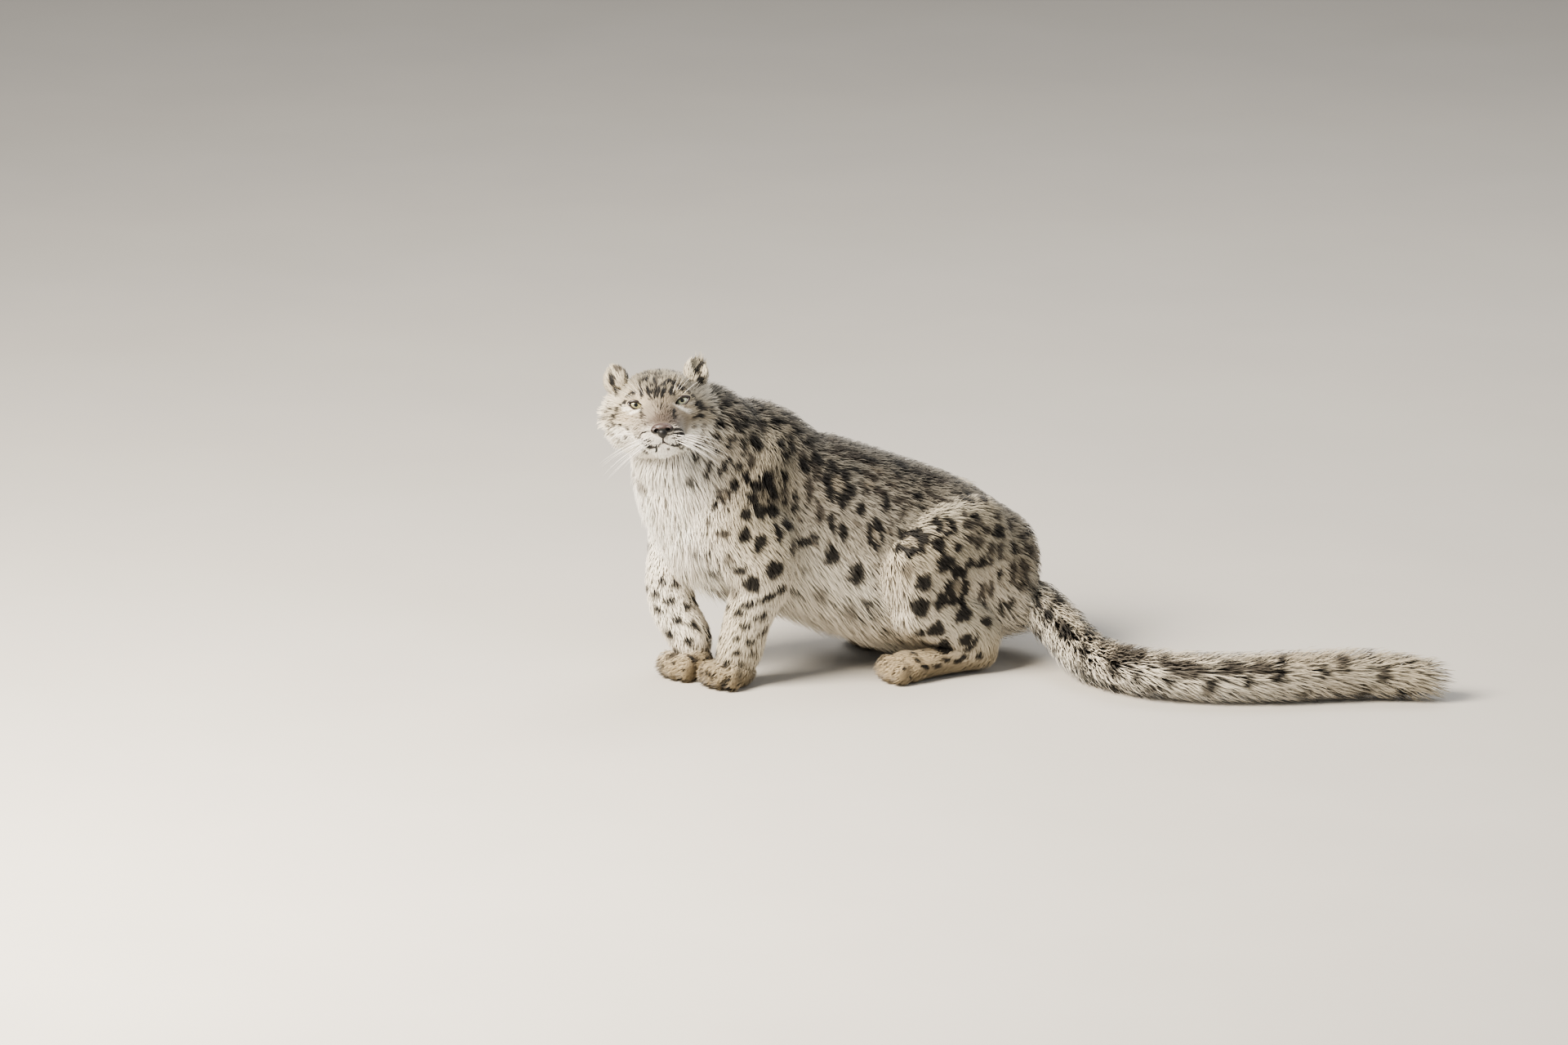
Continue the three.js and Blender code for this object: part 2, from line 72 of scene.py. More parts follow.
# The view of the photograph: the way back to the camera, and the photo's scale and centre.
VIEW_TURN = math.radians(22)
VIEW_RISE = math.radians(14)
VIEW_ROLL = 0.01745
PHOTO_WIDE = 1920
PHOTO_TALL = 1279
MM_PER_PIXEL = 1.4
ORIGIN_COLUMN = 1050.0
ORIGIN_ROW = 809.6
LEVEL_COLUMN = 895.0

# The head's own frame: origin midway between the eyes, x forward, y to its left, z up.
HEAD_AT = (-411.0, -105.0, 515.0)
HEAD_YAW = math.radians(1.2)
HEAD_ROLL = math.radians(6.5)
EYE_SPREAD = 39.5
EYE_FORWARD = 3.0
EYE_RADIUS = 15.5


def view_axes() -> Array:
    """The photograph's axes in the part's frame.

    Returns:
        Three rows: to the right in the picture, up in it, and back towards the camera.
    """
    sin_t, cos_t = math.sin(VIEW_TURN), math.cos(VIEW_TURN)
    sin_r, cos_r = math.sin(VIEW_RISE), math.cos(VIEW_RISE)
    right = (cos_t, -sin_t, 0.0)
    up = (sin_t * sin_r, cos_t * sin_r, cos_r)
    back = (-sin_t * cos_r, -cos_t * cos_r, sin_r)
    return np.array([right, up, back])


RIGHT, UP, BACK = view_axes()


def head_axes() -> Array:
    """The head's axes in the part's frame.

    Returns:
        Three rows: forward, to the head's left, and up.
    """
    forward = BACK * math.cos(HEAD_YAW) + RIGHT * math.sin(HEAD_YAW)
    level = RIGHT * math.cos(HEAD_YAW) - BACK * math.sin(HEAD_YAW)
    left = level * math.cos(HEAD_ROLL) + UP * math.sin(HEAD_ROLL)
    top = UP * math.cos(HEAD_ROLL) - level * math.sin(HEAD_ROLL)
    return np.array([forward, left, top])


HEAD_AXES = head_axes()


def frame_shift() -> Array:
    """Where the part's own origin lies in the shared frame, read from the two eyes.

    Returns:
        The shift in millimetres.
    """
    corners = [np.array(corner) for side in ("left", "right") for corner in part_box(f"eye_{side}")]
    middle = np.mean(corners, axis=0) / MM
    return middle - np.array(HEAD_AT) - HEAD_AXES[0] * EYE_FORWARD


SHIFT = frame_shift()


def to_metres(points: Array) -> Array:
    """Turns points of the part's frame into the shared frame.

    Args:
        points: Positions in millimetres.

    Returns:
        The same positions in metres.
    """
    return (points + SHIFT) * MM


def to_part(points: Array) -> Array:
    """Turns positions of the shared frame in metres into the part's frame in millimetres."""
    return points / MM - SHIFT


def head_to_part(points: Array) -> Array:
    """Turns points of the head's frame into the part's frame."""
    return np.asarray(points, float) @ HEAD_AXES + np.array(HEAD_AT)


def part_to_head(points: Array) -> Array:
    """Turns points of the part's frame into the head's frame."""
    return (points - np.array(HEAD_AT)) @ HEAD_AXES.T


def srgb(red: float, green: float, blue: float) -> Colour:
    """A colour read on a scale of 0 to 255, as linear light."""
    return tuple(((value / 255 + 0.055) / 1.055) ** 2.4 for value in (red, green, blue))


def smoothstep(low: float, high: float, values: Array) -> Array:
    """A smooth step from 0 at low to 1 at high."""
    share = np.clip((values - low) / (high - low), 0, 1)
    return share * share * (3 - 2 * share)


def unit(vectors: Array) -> Array:
    """Each vector at length one."""
    return vectors / np.maximum(np.linalg.norm(vectors, axis=-1, keepdims=True), 1e-9)


def dot(first: Array, second: Array) -> Array:
    """The dot product of each pair of vectors, kept as a column."""
    return (first * second).sum(-1, keepdims=True)


def hashed(cells: Array, seed: int) -> Array:
    """A repeatable number from 0 to 1 for each lattice cell.

    Args:
        cells: Whole-number cells, three to a row.
        seed: Picks one of many such lattices.

    Returns:
        One number for each cell.
    """
    x, y, z = (cells[..., axis].astype(np.int64) for axis in range(3))
    mixed = (x * 73856093) ^ (y * 19349663) ^ (z * 83492791) ^ (seed * 2654435761)
    mixed = ((mixed ^ (mixed >> 13)) * 1274126177) & 0xFFFFFFFF
    return ((mixed ^ (mixed >> 16)) & 0xFFFF) / 65535.0


def noise(points: Array, size: float, seed: int) -> Array:
    """Smooth noise from -1 to 1 whose waves are about size long.

    Args:
        points: Positions, three to a row.
        size: Wave length, in the unit of the points.
        seed: Picks the pattern.

    Returns:
        One number for each point.
    """
    scaled = points / size
    base = np.floor(scaled)
    part = scaled - base
    part = part * part * (3 - 2 * part)
    total = np.zeros(len(points))
    for corner in np.ndindex(2, 2, 2):
        weight = np.prod(np.where(corner, part, 1 - part), axis=1)
        total += weight * hashed(base + corner, seed)
    return total * 2 - 1


def spline(rows: Array, shares: Array) -> Array:
    """Points of the centripetal Catmull-Rom curve through rows.

    Args:
        rows: The curve's points.
        shares: Where to read it, from 0 to 1.

    Returns:
        One point for each share.
    """
    rows = np.asarray(rows, float)
    place = np.clip(shares, 0, 1) * (len(rows) - 1)
    index = np.minimum(place.astype(int), len(rows) - 2)
    part = (place - index)[:, None]
    padded = np.vstack([2 * rows[0] - rows[1], rows, 2 * rows[-1] - rows[-2]])
    p0, p1, p2, p3 = (padded[index + step] for step in range(4))

    def gap(first: Array, second: Array) -> Array:
        """The knot spacing between two points."""
        return (((first - second) ** 2).sum(1, keepdims=True)) ** 0.25

    d1 = gap(p1, p2)
    d1 = np.where(d1 < 1e-4, 1.0, d1)
    d0, d2 = gap(p0, p1), gap(p2, p3)
    d0, d2 = np.where(d0 < 1e-4, d1, d0), np.where(d2 < 1e-4, d1, d2)
    t1 = ((p1 - p0) / d0 - (p2 - p0) / (d0 + d1) + (p2 - p1) / d1) * d1
    t2 = ((p2 - p1) / d1 - (p3 - p1) / (d1 + d2) + (p3 - p2) / d2) * d1
    second = -3 * p1 + 3 * p2 - 2 * t1 - t2
    third = 2 * p1 - 2 * p2 + t1 + t2
    return p1 + t1 * part + second * part**2 + third * part**3


# Helpers that make and change objects.


def new_object(name: str, data: bpy.types.ID) -> Piece:
    """Links a mesh, a light or a camera to the scene as a new object.

    Args:
        name: The object's name.
        data: The mesh, light or camera.

    Returns:
        The new object.
    """
    made = bpy.data.objects.new(name, data)
    bpy.context.scene.collection.objects.link(made)
    return made


def object_from(name: str, bm: bmesh.types.BMesh) -> Piece:
    """Turns a bmesh into an object, with smooth faces.

    Args:
        name: The object's name.
        bm: The shape, which is freed.

    Returns:
        The new object.
    """
    bmesh.ops.recalc_face_normals(bm, faces=bm.faces)
    for face in bm.faces:
        face.smooth = True
    mesh = bpy.data.meshes.new(name)
    bm.to_mesh(mesh)
    bm.free()
    return new_object(name, mesh)


def applied(piece: Piece) -> Piece:
    """Puts an object's modifiers into its mesh.

    Args:
        piece: The object.

    Returns:
        The same object.
    """
    graph = bpy.context.evaluated_depsgraph_get()
    mesh = bpy.data.meshes.new_from_object(piece.evaluated_get(graph))
    piece.modifiers.clear()
    old, piece.data = piece.data, mesh
    bpy.data.meshes.remove(old)
    mesh.name = piece.name
    return piece


def joined(name: str, pieces: list[Piece]) -> Piece:
    """Joins objects into one mesh, which keeps their shells apart.

    Args:
        name: Name of the joined object.
        pieces: The objects, which are removed.

    Returns:
        The joined object.
    """
    bm = bmesh.new()
    for piece in pieces:
        bm.from_mesh(piece.data)
        bpy.data.objects.remove(piece)
    return object_from(name, bm)


def remeshed(piece: Piece, voxel: float, rounds: int) -> Piece:
    """Fuses an object's shells into one even surface and smooths it.

    Args:
        piece: The object.
        voxel: Size of the new faces in millimetres.
        rounds: Rounds of smoothing.

    Returns:
        The same object.
    """
    fuse = piece.modifiers.new("fuse", "REMESH")
    fuse.mode = "VOXEL"
    fuse.voxel_size = voxel * MM
    fuse.use_smooth_shade = True
    smooth = piece.modifiers.new("smooth", "SMOOTH")
    smooth.factor = SMOOTHING
    smooth.iterations = rounds
    return applied(piece)


def combined(piece: Piece, other: Piece, way: str) -> Piece:
    """Joins another solid to an object, or cuts it away.

    Args:
        piece: The object that stays.
        other: The other solid, which is removed.
        way: UNION or DIFFERENCE.

    Returns:
        The same object.
    """
    tool = piece.modifiers.new("combine", "BOOLEAN")
    tool.operation = way
    tool.solver = "MANIFOLD"
    tool.object = other
    applied(piece)
    bpy.data.objects.remove(other)
    return piece


def ball(at: Array, half: Array, axes: Array = HEAD_AXES, rings: int = 24) -> Piece:
    """An ellipsoid.

    Args:
        at: Its middle in the part's frame.
        half: Its half sizes along the three axes.
        axes: The axes, as rows.
        rings: Rings from pole to pole.

    Returns:
        The new object.
    """
    bm = bmesh.new()
    bmesh.ops.create_uvsphere(bm, u_segments=rings * 2, v_segments=rings, radius=1)
    for vert in bm.verts:
        local = np.array(vert.co) * half
        vert.co = Vector(to_metres(local @ axes + at))
    return object_from("ball", bm)


def sweep(name: str, path: Array, radii: Array, sides: int, closed: bool = False) -> Piece:
    """A round tube along a path, made of circles bridged one to the next.

    Args:
        name: The object's name.
        path: Its centre line in the part's frame.
        radii: Its radius at each point of the path.
        sides: Sides of each circle.
        closed: Whether the last circle joins the first.

    Returns:
        The new object.
    """
    bm = bmesh.new()
    loops = []
    for index, (point, radius) in enumerate(zip(path, radii)):
        if closed:
            ahead = path[(index + 1) % len(path)] - path[index - 1]
        else:
            ahead = path[min(index + 1, len(path) - 1)] - path[max(index - 1, 0)]
        turn = Vector(ahead).to_track_quat("Z", "Y").to_matrix().to_4x4()
        stand = Matrix.Translation(Vector(to_metres(point))) @ turn
        thick = max(radius, THINNEST_TUBE) * MM
        ring = bmesh.ops.create_circle(bm, segments=sides, radius=thick, matrix=stand)
        loops.append(list({edge for vert in ring["verts"] for edge in vert.link_edges}))
    pairs = list(zip(loops, loops[1:]))
    if closed:
        pairs.append((loops[-1], loops[0]))
    for first, second in pairs:
        bmesh.ops.bridge_loops(bm, edges=first + second)
    if not closed:
        bmesh.ops.holes_fill(bm, edges=loops[0] + loops[-1], sides=0)
    return object_from(name, bm)


def read_mesh(mesh: Mesh) -> tuple[Array, Array, Array]:
    """A mesh's points and normals in the part's frame, and its triangles.

    Args:
        mesh: The mesh.

    Returns:
        Points, normals and the three points of each triangle.
    """
    count = len(mesh.vertices)
    points = np.empty(count * 3)
    mesh.vertices.foreach_get("co", points)
    normals = np.empty(count * 3)
    mesh.vertex_normals.foreach_get("vector", normals)
    mesh.calc_loop_triangles()
    corners = np.empty(len(mesh.loop_triangles) * 3, int)
    mesh.loop_triangles.foreach_get("vertices", corners)
    return to_part(points.reshape(-1, 3)), normals.reshape(-1, 3), corners.reshape(-1, 3)


def dress(piece: Piece, material: Material) -> Piece:
    """Gives a piece its material and slot, and lets it ride on the animal.

    Args:
        piece: The object.
        material: Its material.

    Returns:
        The same object.
    """
    piece.data.materials.clear()
    piece.data.materials.append(material)
    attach(piece, "root")
    return piece


def paint(mesh: Mesh, colours: Array) -> None:
    """Keeps a colour at each point of a mesh, where the coat's material reads it.

    Args:
        mesh: The mesh.
        colours: A colour for each of its points.
    """
    rgba = np.ones((len(colours), 4), np.float32)
    rgba[:, :3] = colours
    layer = mesh.color_attributes.new(name=COLOUR_LAYER, type="FLOAT_COLOR", domain="POINT")
    layer.data.foreach_set("color", rgba.ravel())


# The body's forms and the coat on each.

ACROSS = (0.0, 1.0, 0.0)
UPWARDS = (0.0, 0.0, 1.0)
NEAR_SHARE = 1e-3
# How much of a form's turn from pole to pole each rounded end takes.
END_PART = 0.14
THINNEST_SKIN = 4.0
# The far hind leg is the near one, mirrored at this y and set back.
SPINE_Y = -16.0
RIGHT_THIGH_BACK, RIGHT_SHANK_BACK, RIGHT_FOOT_BACK = 16.0, 30.0, 44.0


@dataclass(frozen=True)
class Shades:
    """The coat's ground colours above, at the side and below, at one share of a form."""

    share: float
    above: Colour
    beside: Colour
    below: Colour


@dataclass(frozen=True)
class Coat:
    """How the coat grows on one form.

    Length is a tuft's and height how far it stands off, each above, at the side and below, in
    millimetres as width is. Density is in tufts to the square centimetre. Lie is how much it
    follows the form's line, hangs down and points back.
    """

    length: tuple[float, float, float]
    width: float
    height: tuple[float, float, float]
    density: float
    lie: tuple[float, float, float]
    shades: tuple[Shades, ...]
    sag: float = 0.04
    clump: float = 0.45
    wave: float = 0.015


@dataclass(frozen=True)
class Form:
    """One rounded form of the body along a line of stations, as in the solids.

    A station is x, y, z and two half sizes. Depth is how far the skin lies inside the coat, as
    pairs of share and millimetres.
    """

    name: str
    stations: Rows
    domes: tuple[float, float]
    depth: tuple[tuple[float, float], ...]
    coat: Coat
    ref: tuple[float, float, float] = ACROSS
    swells: Rows = ()
    in_head: bool = False
    belly: float = 0.0

    def sections(self, shares: Array) -> dict[str, Array]:
        """The form's centre, directions and half sizes at some shares of its line.

        Args:
            shares: The shares, from 0 to 1.

        Returns:
            Arrays centre, along, first, second and size.
        """
        rows = np.array(self.stations)
        centre = spline(rows[:, :3], shares)
        size = spline(rows[:, 3:], shares)
        ahead, behind = (spline(rows[:, :3], shares + step) for step in (NEAR_SHARE, -NEAR_SHARE))
        along = unit(ahead - behind)
        ref = np.array(self.ref)
        first = unit(ref - along * (along @ ref)[:, None])
        return {
            "centre": centre,
            "along": along,
            "first": first,
            "second": np.cross(along, first),
            "size": size,
        }

    def depth_at(self, shares: Array) -> Array:
        """The coat's depth at some shares of the form's line."""
        rows = np.array(self.depth)
        return np.interp(shares, rows[:, 0], rows[:, 1])

    def shell(self, name: str, around: int, rings: int, coat: float) -> Piece:
        """The form as a closed surface.

        Args:
            name: The object's name.
            around: Points round it.
            rings: Rings from end to end.
            coat: How much of the coat's depth is left on: 1 is its outside and 0 the skin.

        Returns:
            The new object.
        """
        bm = bmesh.new()
        bmesh.ops.create_uvsphere(bm, u_segments=around, v_segments=rings, radius=1)
        ball_points = np.array([vert.co for vert in bm.verts])
        place = np.arccos(np.clip(ball_points[:, 2], -1, 1)) / math.pi
        share = np.clip((place - END_PART) / (1 - 2 * END_PART), 0, 1)
        angle = math.pi / 2 * np.clip(np.minimum(place, 1 - place) / END_PART, 0, 1)
        turn = np.arctan2(ball_points[:, 1], ball_points[:, 0])
        part = self.sections(share)
        depth = self.depth_at(share) * (1 - coat)
        under = self.belly * (1 - coat) * np.clip(-np.sin(turn), 0, 1) ** 2
        dome = np.where(share < 0.5, -self.domes[0], self.domes[1])
        dome = np.sign(dome) * np.maximum(np.abs(dome) - depth, 2) * np.cos(angle)
        centre = part["centre"] + part["along"] * dome[:, None]
        grow = np.maximum(part["size"] - (depth + under)[:, None], THINNEST_SKIN)
        grow = grow * np.sin(angle)[:, None]
        points = centre + part["first"] * (grow[:, :1] * np.cos(turn)[:, None])
        points += part["second"] * (grow[:, 1:] * np.sin(turn)[:, None])
        out = unit(points - centre)
        for x, y, z, reach, push in self.swells:
            aside = np.abs(points[:, 1]) - y
            distance = np.sqrt((points[:, 0] - x) ** 2 + aside**2 + (points[:, 2] - z) ** 2)
            points += out * (push * np.exp(-((distance / reach) ** 2)))[:, None]
        if self.in_head:
            points = head_to_part(points)
        for vert, point in zip(bm.verts, to_metres(points)):
            vert.co = Vector(point)
        return object_from(name, bm)


WHITE = srgb(246, 241, 230)
CREAM = srgb(196, 186, 165)
TAN = srgb(164, 154, 134)
SMOKE = srgb(108, 103, 93)
PALE_GREY = srgb(144, 137, 124)
BACK_GREY = srgb(95, 91, 83)
SNOW_BELLY = srgb(228, 220, 204)
NECK_SIDE = srgb(172, 163, 146)
PAW_CREAM = srgb(160, 145, 119)
NOSE_SMUDGE = srgb(84, 74, 66)
RUFF_EDGE = srgb(226, 217, 199)
EAR_BACK = srgb(140, 130, 112)
EAR_EDGE = srgb(206, 196, 174)
# The colour of the painted shade deep in the ear hollows.
EAR_HOLLOW_SHADE = srgb(70, 62, 54)
HEAD_RISE = ((0.0, 0.3, 0.45, 0.62, 1.0), (14.0, 12.5, 9.0, 5.0, 3.0))

BACK_LIE = (1.0, 0.45, 0.0)
LEG_LIE = (1.0, 0.0, 0.15)

TORSO_COAT = Coat(
    length=(26, 30, 80),
    width=2.3,
    height=(21, 24, 50),
    density=9.4,
    lie=BACK_LIE,
    sag=0.10,
    clump=0.05,
    shades=(
        Shades(0.0, PALE_GREY, CREAM, WHITE),
        Shades(0.14, SMOKE, CREAM, WHITE),
        Shades(0.3, BACK_GREY, PALE_GREY, SNOW_BELLY),
        Shades(0.62, BACK_GREY, PALE_GREY, SNOW_BELLY),
        Shades(0.85, srgb(132, 125, 112), TAN, SNOW_BELLY),
        Shades(1.0, srgb(142, 134, 119), TAN, SNOW_BELLY),
    ),
)
NECK_COAT = Coat(
    length=(28, 34, 58),
    width=2.1,
    height=(24, 27, 32),
    density=10.5,
    lie=(1.0, 0.7, 0.0),
    sag=0.08,
    clump=0.05,
    shades=(
        Shades(0.0, SMOKE, srgb(150, 142, 127), WHITE),
        Shades(1.0, SMOKE, NECK_SIDE, WHITE),
    ),
)
FACE_COAT = Coat(
    length=(11, 11, 16),
    width=1.45,
    height=(5, 5, 7),
    density=19,
    lie=(0.0, 0.0, 0.0),
    sag=0.0,
    clump=0.08,
    wave=0.02,
    shades=(
        Shades(0.0, SMOKE, CREAM, WHITE),
        Shades(0.4, srgb(132, 125, 109), srgb(172, 162, 142), WHITE),
        Shades(0.62, srgb(126, 115, 98), srgb(152, 140, 121), WHITE),
        Shades(0.8, srgb(92, 80, 69), srgb(160, 150, 136), WHITE),
        Shades(1.0, srgb(80, 69, 60), srgb(196, 189, 179), WHITE),
    ),
)
SHOULDER_COAT = Coat(
    length=(25, 25, 25),
    width=2.1,
    height=(16, 16, 16),
    density=9.0,
    lie=(1.0, 0.1, 0.25),
    clump=0.08,
    shades=(Shades(0.0, TAN, TAN, CREAM), Shades(1.0, CREAM, CREAM, SNOW_BELLY)),
)
# Paler than the near shoulder: white on its front as the bib is, and the rest lightened as painted
# sunlight on the far leg.
FAR_SHOULDER_BIB_AND_SUNLIT_COAT = replace(
    SHOULDER_COAT,
    shades=(Shades(0.0, CREAM, SNOW_BELLY, WHITE), Shades(1.0, CREAM, WHITE, WHITE)),
)
FOREARM_COAT = Coat(
    length=(19, 19, 19),
    width=1.9,
    height=(9.5, 9.5, 9.5),
    density=12,
    lie=LEG_LIE,
    clump=0.08,
    shades=(Shades(0.0, CREAM, CREAM, SNOW_BELLY), Shades(1.0, CREAM, CREAM, CREAM)),
)
# Paler than the near forearm: painted sunlight on the far leg.
FAR_FOREARM_SUNLIT_COAT = replace(
    FOREARM_COAT,
    shades=(
        Shades(0.0, SNOW_BELLY, SNOW_BELLY, WHITE),
        Shades(1.0, CREAM, SNOW_BELLY, SNOW_BELLY),
    ),
)
PAW_COAT = Coat(
    length=(12, 12, 12),
    width=1.5,
    height=(5.2, 5.2, 5.2),
    density=16,
    lie=(1.0, 0.1, 0.0),
    clump=0.1,
    shades=tuple(Shades(share, PAW_CREAM, PAW_CREAM, PAW_CREAM) for share in (0.0, 1.0)),
)
THIGH_COAT = Coat(
    length=(26, 26, 38),
    width=2.2,
    height=(17, 17, 22),
    density=9.6,
    lie=(-0.5, 0.8, 0.1),
    clump=0.08,
    shades=(Shades(0.0, TAN, TAN, SNOW_BELLY), Shades(1.0, CREAM, TAN, SNOW_BELLY)),
)
SHANK_COAT = Coat(
    length=(24, 24, 24),
    width=2.1,
    height=(11, 11, 11),
    density=10,
    lie=(0.8, 0.5, 0.0),
    clump=0.08,
    shades=(Shades(0.0, TAN, TAN, SNOW_BELLY), Shades(1.0, CREAM, CREAM, CREAM)),
)
TAIL_COAT = Coat(
    length=(44, 44, 48),
    width=2.5,
    height=(30, 30, 27),
    density=9.0,
    lie=(1.0, 0.12, 0.0),
    sag=0.03,
    clump=0.05,
    shades=(
        Shades(0.0, TAN, CREAM, WHITE),
        Shades(0.35, srgb(156, 142, 118), CREAM, WHITE),
        Shades(1.0, srgb(150, 136, 112), CREAM, CREAM),
    ),
)

# Stations of each form: x, y, z and two half sizes, in the part's frame, or the head's for HEAD.
TORSO = (
    (-335, -38, 318, 88, 108),
    (-290, -20, 318, 108, 146),
    (-230, -2, 325, 112, 169),
    (-156, 4, 289, 118, 154),
    (-74, 2, 258, 126, 156),
    (10, -6, 226, 134, 156),
    (90, -12, 199, 136, 153),
    (170, -14, 178, 128, 134),
    (240, -12, 160, 106, 108),
)
NECK = (
    (-372, -52, 462, 84, 84),
    (-334, -32, 436, 104, 112),
    (-299, -16, 393, 118, 127),
    (-278, -4, 340, 120, 126),
)
LEFT_SHOULDER = (
    (-190, -60, 414, 34, 46),
    (-236, -82, 368, 46, 68),
    (-260, -96, 312, 51, 76),
    (-232, -104, 250, 52, 74),
    (-212, -106, 198, 47, 56),
)
LEFT_FOREARM = (
    (-211, -106, 200, 46, 54),
    (-227, -101, 160, 44, 49),
    (-239, -92, 114, 42, 43),
    (-244, -80, 69, 41, 42),
    (-250, -74, 44, 36, 41),
)
RIGHT_SHOULDER = (
    (-236, 62, 414, 34, 46),
    (-280, 78, 362, 44, 60),
    (-292, 83, 306, 46, 59),
    (-300, 84, 250, 45, 51),
    (-304, 79, 202, 42, 46),
)
RIGHT_FOREARM = (
    (-308, 79, 202, 41, 46),
    (-320, 66, 162, 40, 46),
    (-321, 43, 116, 37, 44),
    (-302, 20, 72, 37, 40),
    (-294, 11, 46, 34, 38),
)
THIGH = (
    (196, -84, 216, 52, 96),
    (150, -104, 214, 56, 100),
    (96, -122, 206, 56, 94),
    (40, -134, 184, 50, 76),
)
SHANK = (
    (44, -132, 150, 46, 62),
    (96, -130, 122, 44, 60),
    (150, -126, 92, 38, 50),
    (194, -122, 60, 30, 38),
)
HIND_FOOT = (
    (200, -122, 40, 28, 34),
    (150, -126, 32, 28, 28),
    (96, -132, 28, 32, 27),
    (60, -136, 26, 38, 26),
)
TAIL = (
    (250, 6, 158, 50, 52),
    (298, -46, 114, 48, 50),
    (324, -132, 76, 47, 48),
    (334, -236, 49, 48, 48),
    (368, -346, 48, 48, 48),
    (440, -416, 48, 48, 48),
    (536, -458, 48, 48, 48),
    (640, -480, 48, 48, 48),
    (738, -498, 47, 47, 47),
    (818, -532, 44, 42, 42),
)
HEAD = (
    (-118, 0, -12, 60, 56),
    (-86, 0, -10, 78, 68),
    (-48, 0, -15, 88, 74),
    (-16, 0, -22, 80, 72),
    (8, 0, -32, 61, 62),
    (28, 0, -43, 45, 47),
    (46, 0, -53, 38, 38),
    (62, 0, -60, 33, 32),
)
# Swells and dents of the face: x, y, z, reach and push, on both sides alike.
FACE_SWELLS = (
    (-30, 84, -52, 36, 9),
    (4, 50, -38, 22, 5),
    (2, 34, 21, 18, 6),
    (16, 38, -2, 17, -7),
    (27, 23, -4, 15, -8),
    (58, 19, -62, 15, 7),
    (32, 32, -62, 16, 3),
    (52, 0, -98, 17, 10),
    (46, 0, -18, 14, 4),
    (10, 0, 30, 26, -3),
)


def turned_axes(degrees: float) -> Array:
    """Directions turned about the upright, as rows.

    Args:
        degrees: The angle.

    Returns:
        Three rows.
    """
    sine, cosine = math.sin(math.radians(degrees)), math.cos(math.radians(degrees))
    return np.array([(cosine, sine, 0), (-sine, cosine, 0), (0, 0, 1)])


@dataclass(frozen=True)
class Paw:
    """A paw: a palm and four toes, turned about the upright, facing -X before that."""

    name: str
    at: tuple[float, float, float]
    turn: float
    size: tuple[float, float, float]
    depth: float = 5.0
    toe_turn: float = 9.0

    def shells(self) -> list[Piece]:
        """The palm and the toes as closed surfaces.

        Returns:
            The objects, the palm first.
        """
        length, width, height = self.size
        axes = turned_axes(self.turn)
        at = np.array(self.at)
        less = self.depth
        palm = np.array([length * 0.78 - less, width * 0.98 - less, height - less])
        made = [ball(at, palm, axes)]
        for place in (-1.5, -0.5, 0.5, 1.5):
            own = turned_axes(self.turn - self.toe_turn * place)
            ahead = -length * (0.62 - 0.07 * place * place)
            middle = np.array([ahead, place * width * 0.46, -height * 0.1])
            half = np.array([length * 0.44 - less, width * 0.31 - 2.5, height * 0.86 - less])
            made.append(ball(at + middle @ axes, half, own, 14))
        return made


def mirrored(rows: Rows, back: float) -> Rows:
    """The right hind leg's stations: the left one's, mirrored and set back a little."""
    return tuple((x + back, 2 * SPINE_Y - y, *rest) for x, y, *rest in rows)


FORMS = (
    Form(
        "torso",
        TORSO,
        (46, 78),
        ((0, 26), (0.2, 23), (1, 21)),
        TORSO_COAT,
        swells=((-350, 0, 290, 90, -12),),
        belly=12,
    ),
    Form("neck", NECK, (30, 60), ((0, 26), (1, 28)), NECK_COAT),
    Form(
        "head",
        HEAD,
        (26, 9),
        ((0, 16), (0.4, 12), (0.62, 5), (1, 3)),
        FACE_COAT,
        swells=FACE_SWELLS,
        in_head=True,
    ),
    Form("shoulder_left", LEFT_SHOULDER, (26, 20), ((0, 16), (1, 12)), SHOULDER_COAT),
    Form("forearm_left", LEFT_FOREARM, (14, 10), ((0, 11), (1, 7)), FOREARM_COAT),
    Form("shoulder_right", RIGHT_SHOULDER, (26, 20), ((0, 16), (1, 12)), FAR_SHOULDER_BIB_AND_SUNLIT_COAT),
    Form("forearm_right", RIGHT_FOREARM, (14, 10), ((0, 11), (1, 7)), FAR_FOREARM_SUNLIT_COAT),
    Form("thigh_left", THIGH, (44, 50), ((0, 18), (1, 15)), THIGH_COAT),
    Form("shank_left", SHANK, (30, 18), ((0, 13), (1, 8)), SHANK_COAT),
    Form("foot_left", HIND_FOOT, (20, 14), ((0, 7), (1, 5)), PAW_COAT),
    Form("thigh_right", mirrored(THIGH, RIGHT_THIGH_BACK), (44, 50), ((0, 18), (1, 15)), THIGH_COAT),
    Form("shank_right", mirrored(SHANK, RIGHT_SHANK_BACK), (30, 18), ((0, 13), (1, 8)), SHANK_COAT),
    Form("foot_right", mirrored(HIND_FOOT, RIGHT_FOOT_BACK), (20, 14), ((0, 7), (1, 5)), PAW_COAT),
    Form("tail", TAIL, (20, 44), ((0, 28), (0.15, 30), (0.9, 30), (1, 28)), TAIL_COAT, ref=UPWARDS),
)
PAWS = (
    Paw("forepaw_left", (-256, -74, 25), 26, (54, 40, 30)),
    Paw("forepaw_right", (-300, 4, 25), 14, (54, 40, 30)),
    Paw("hindpaw_left", (46, -137, 24), 6, (52, 40, 28)),
    Paw("hindpaw_right", (46 + RIGHT_FOOT_BACK, 2 * SPINE_Y + 137, 24), -6, (52, 40, 28)),
)


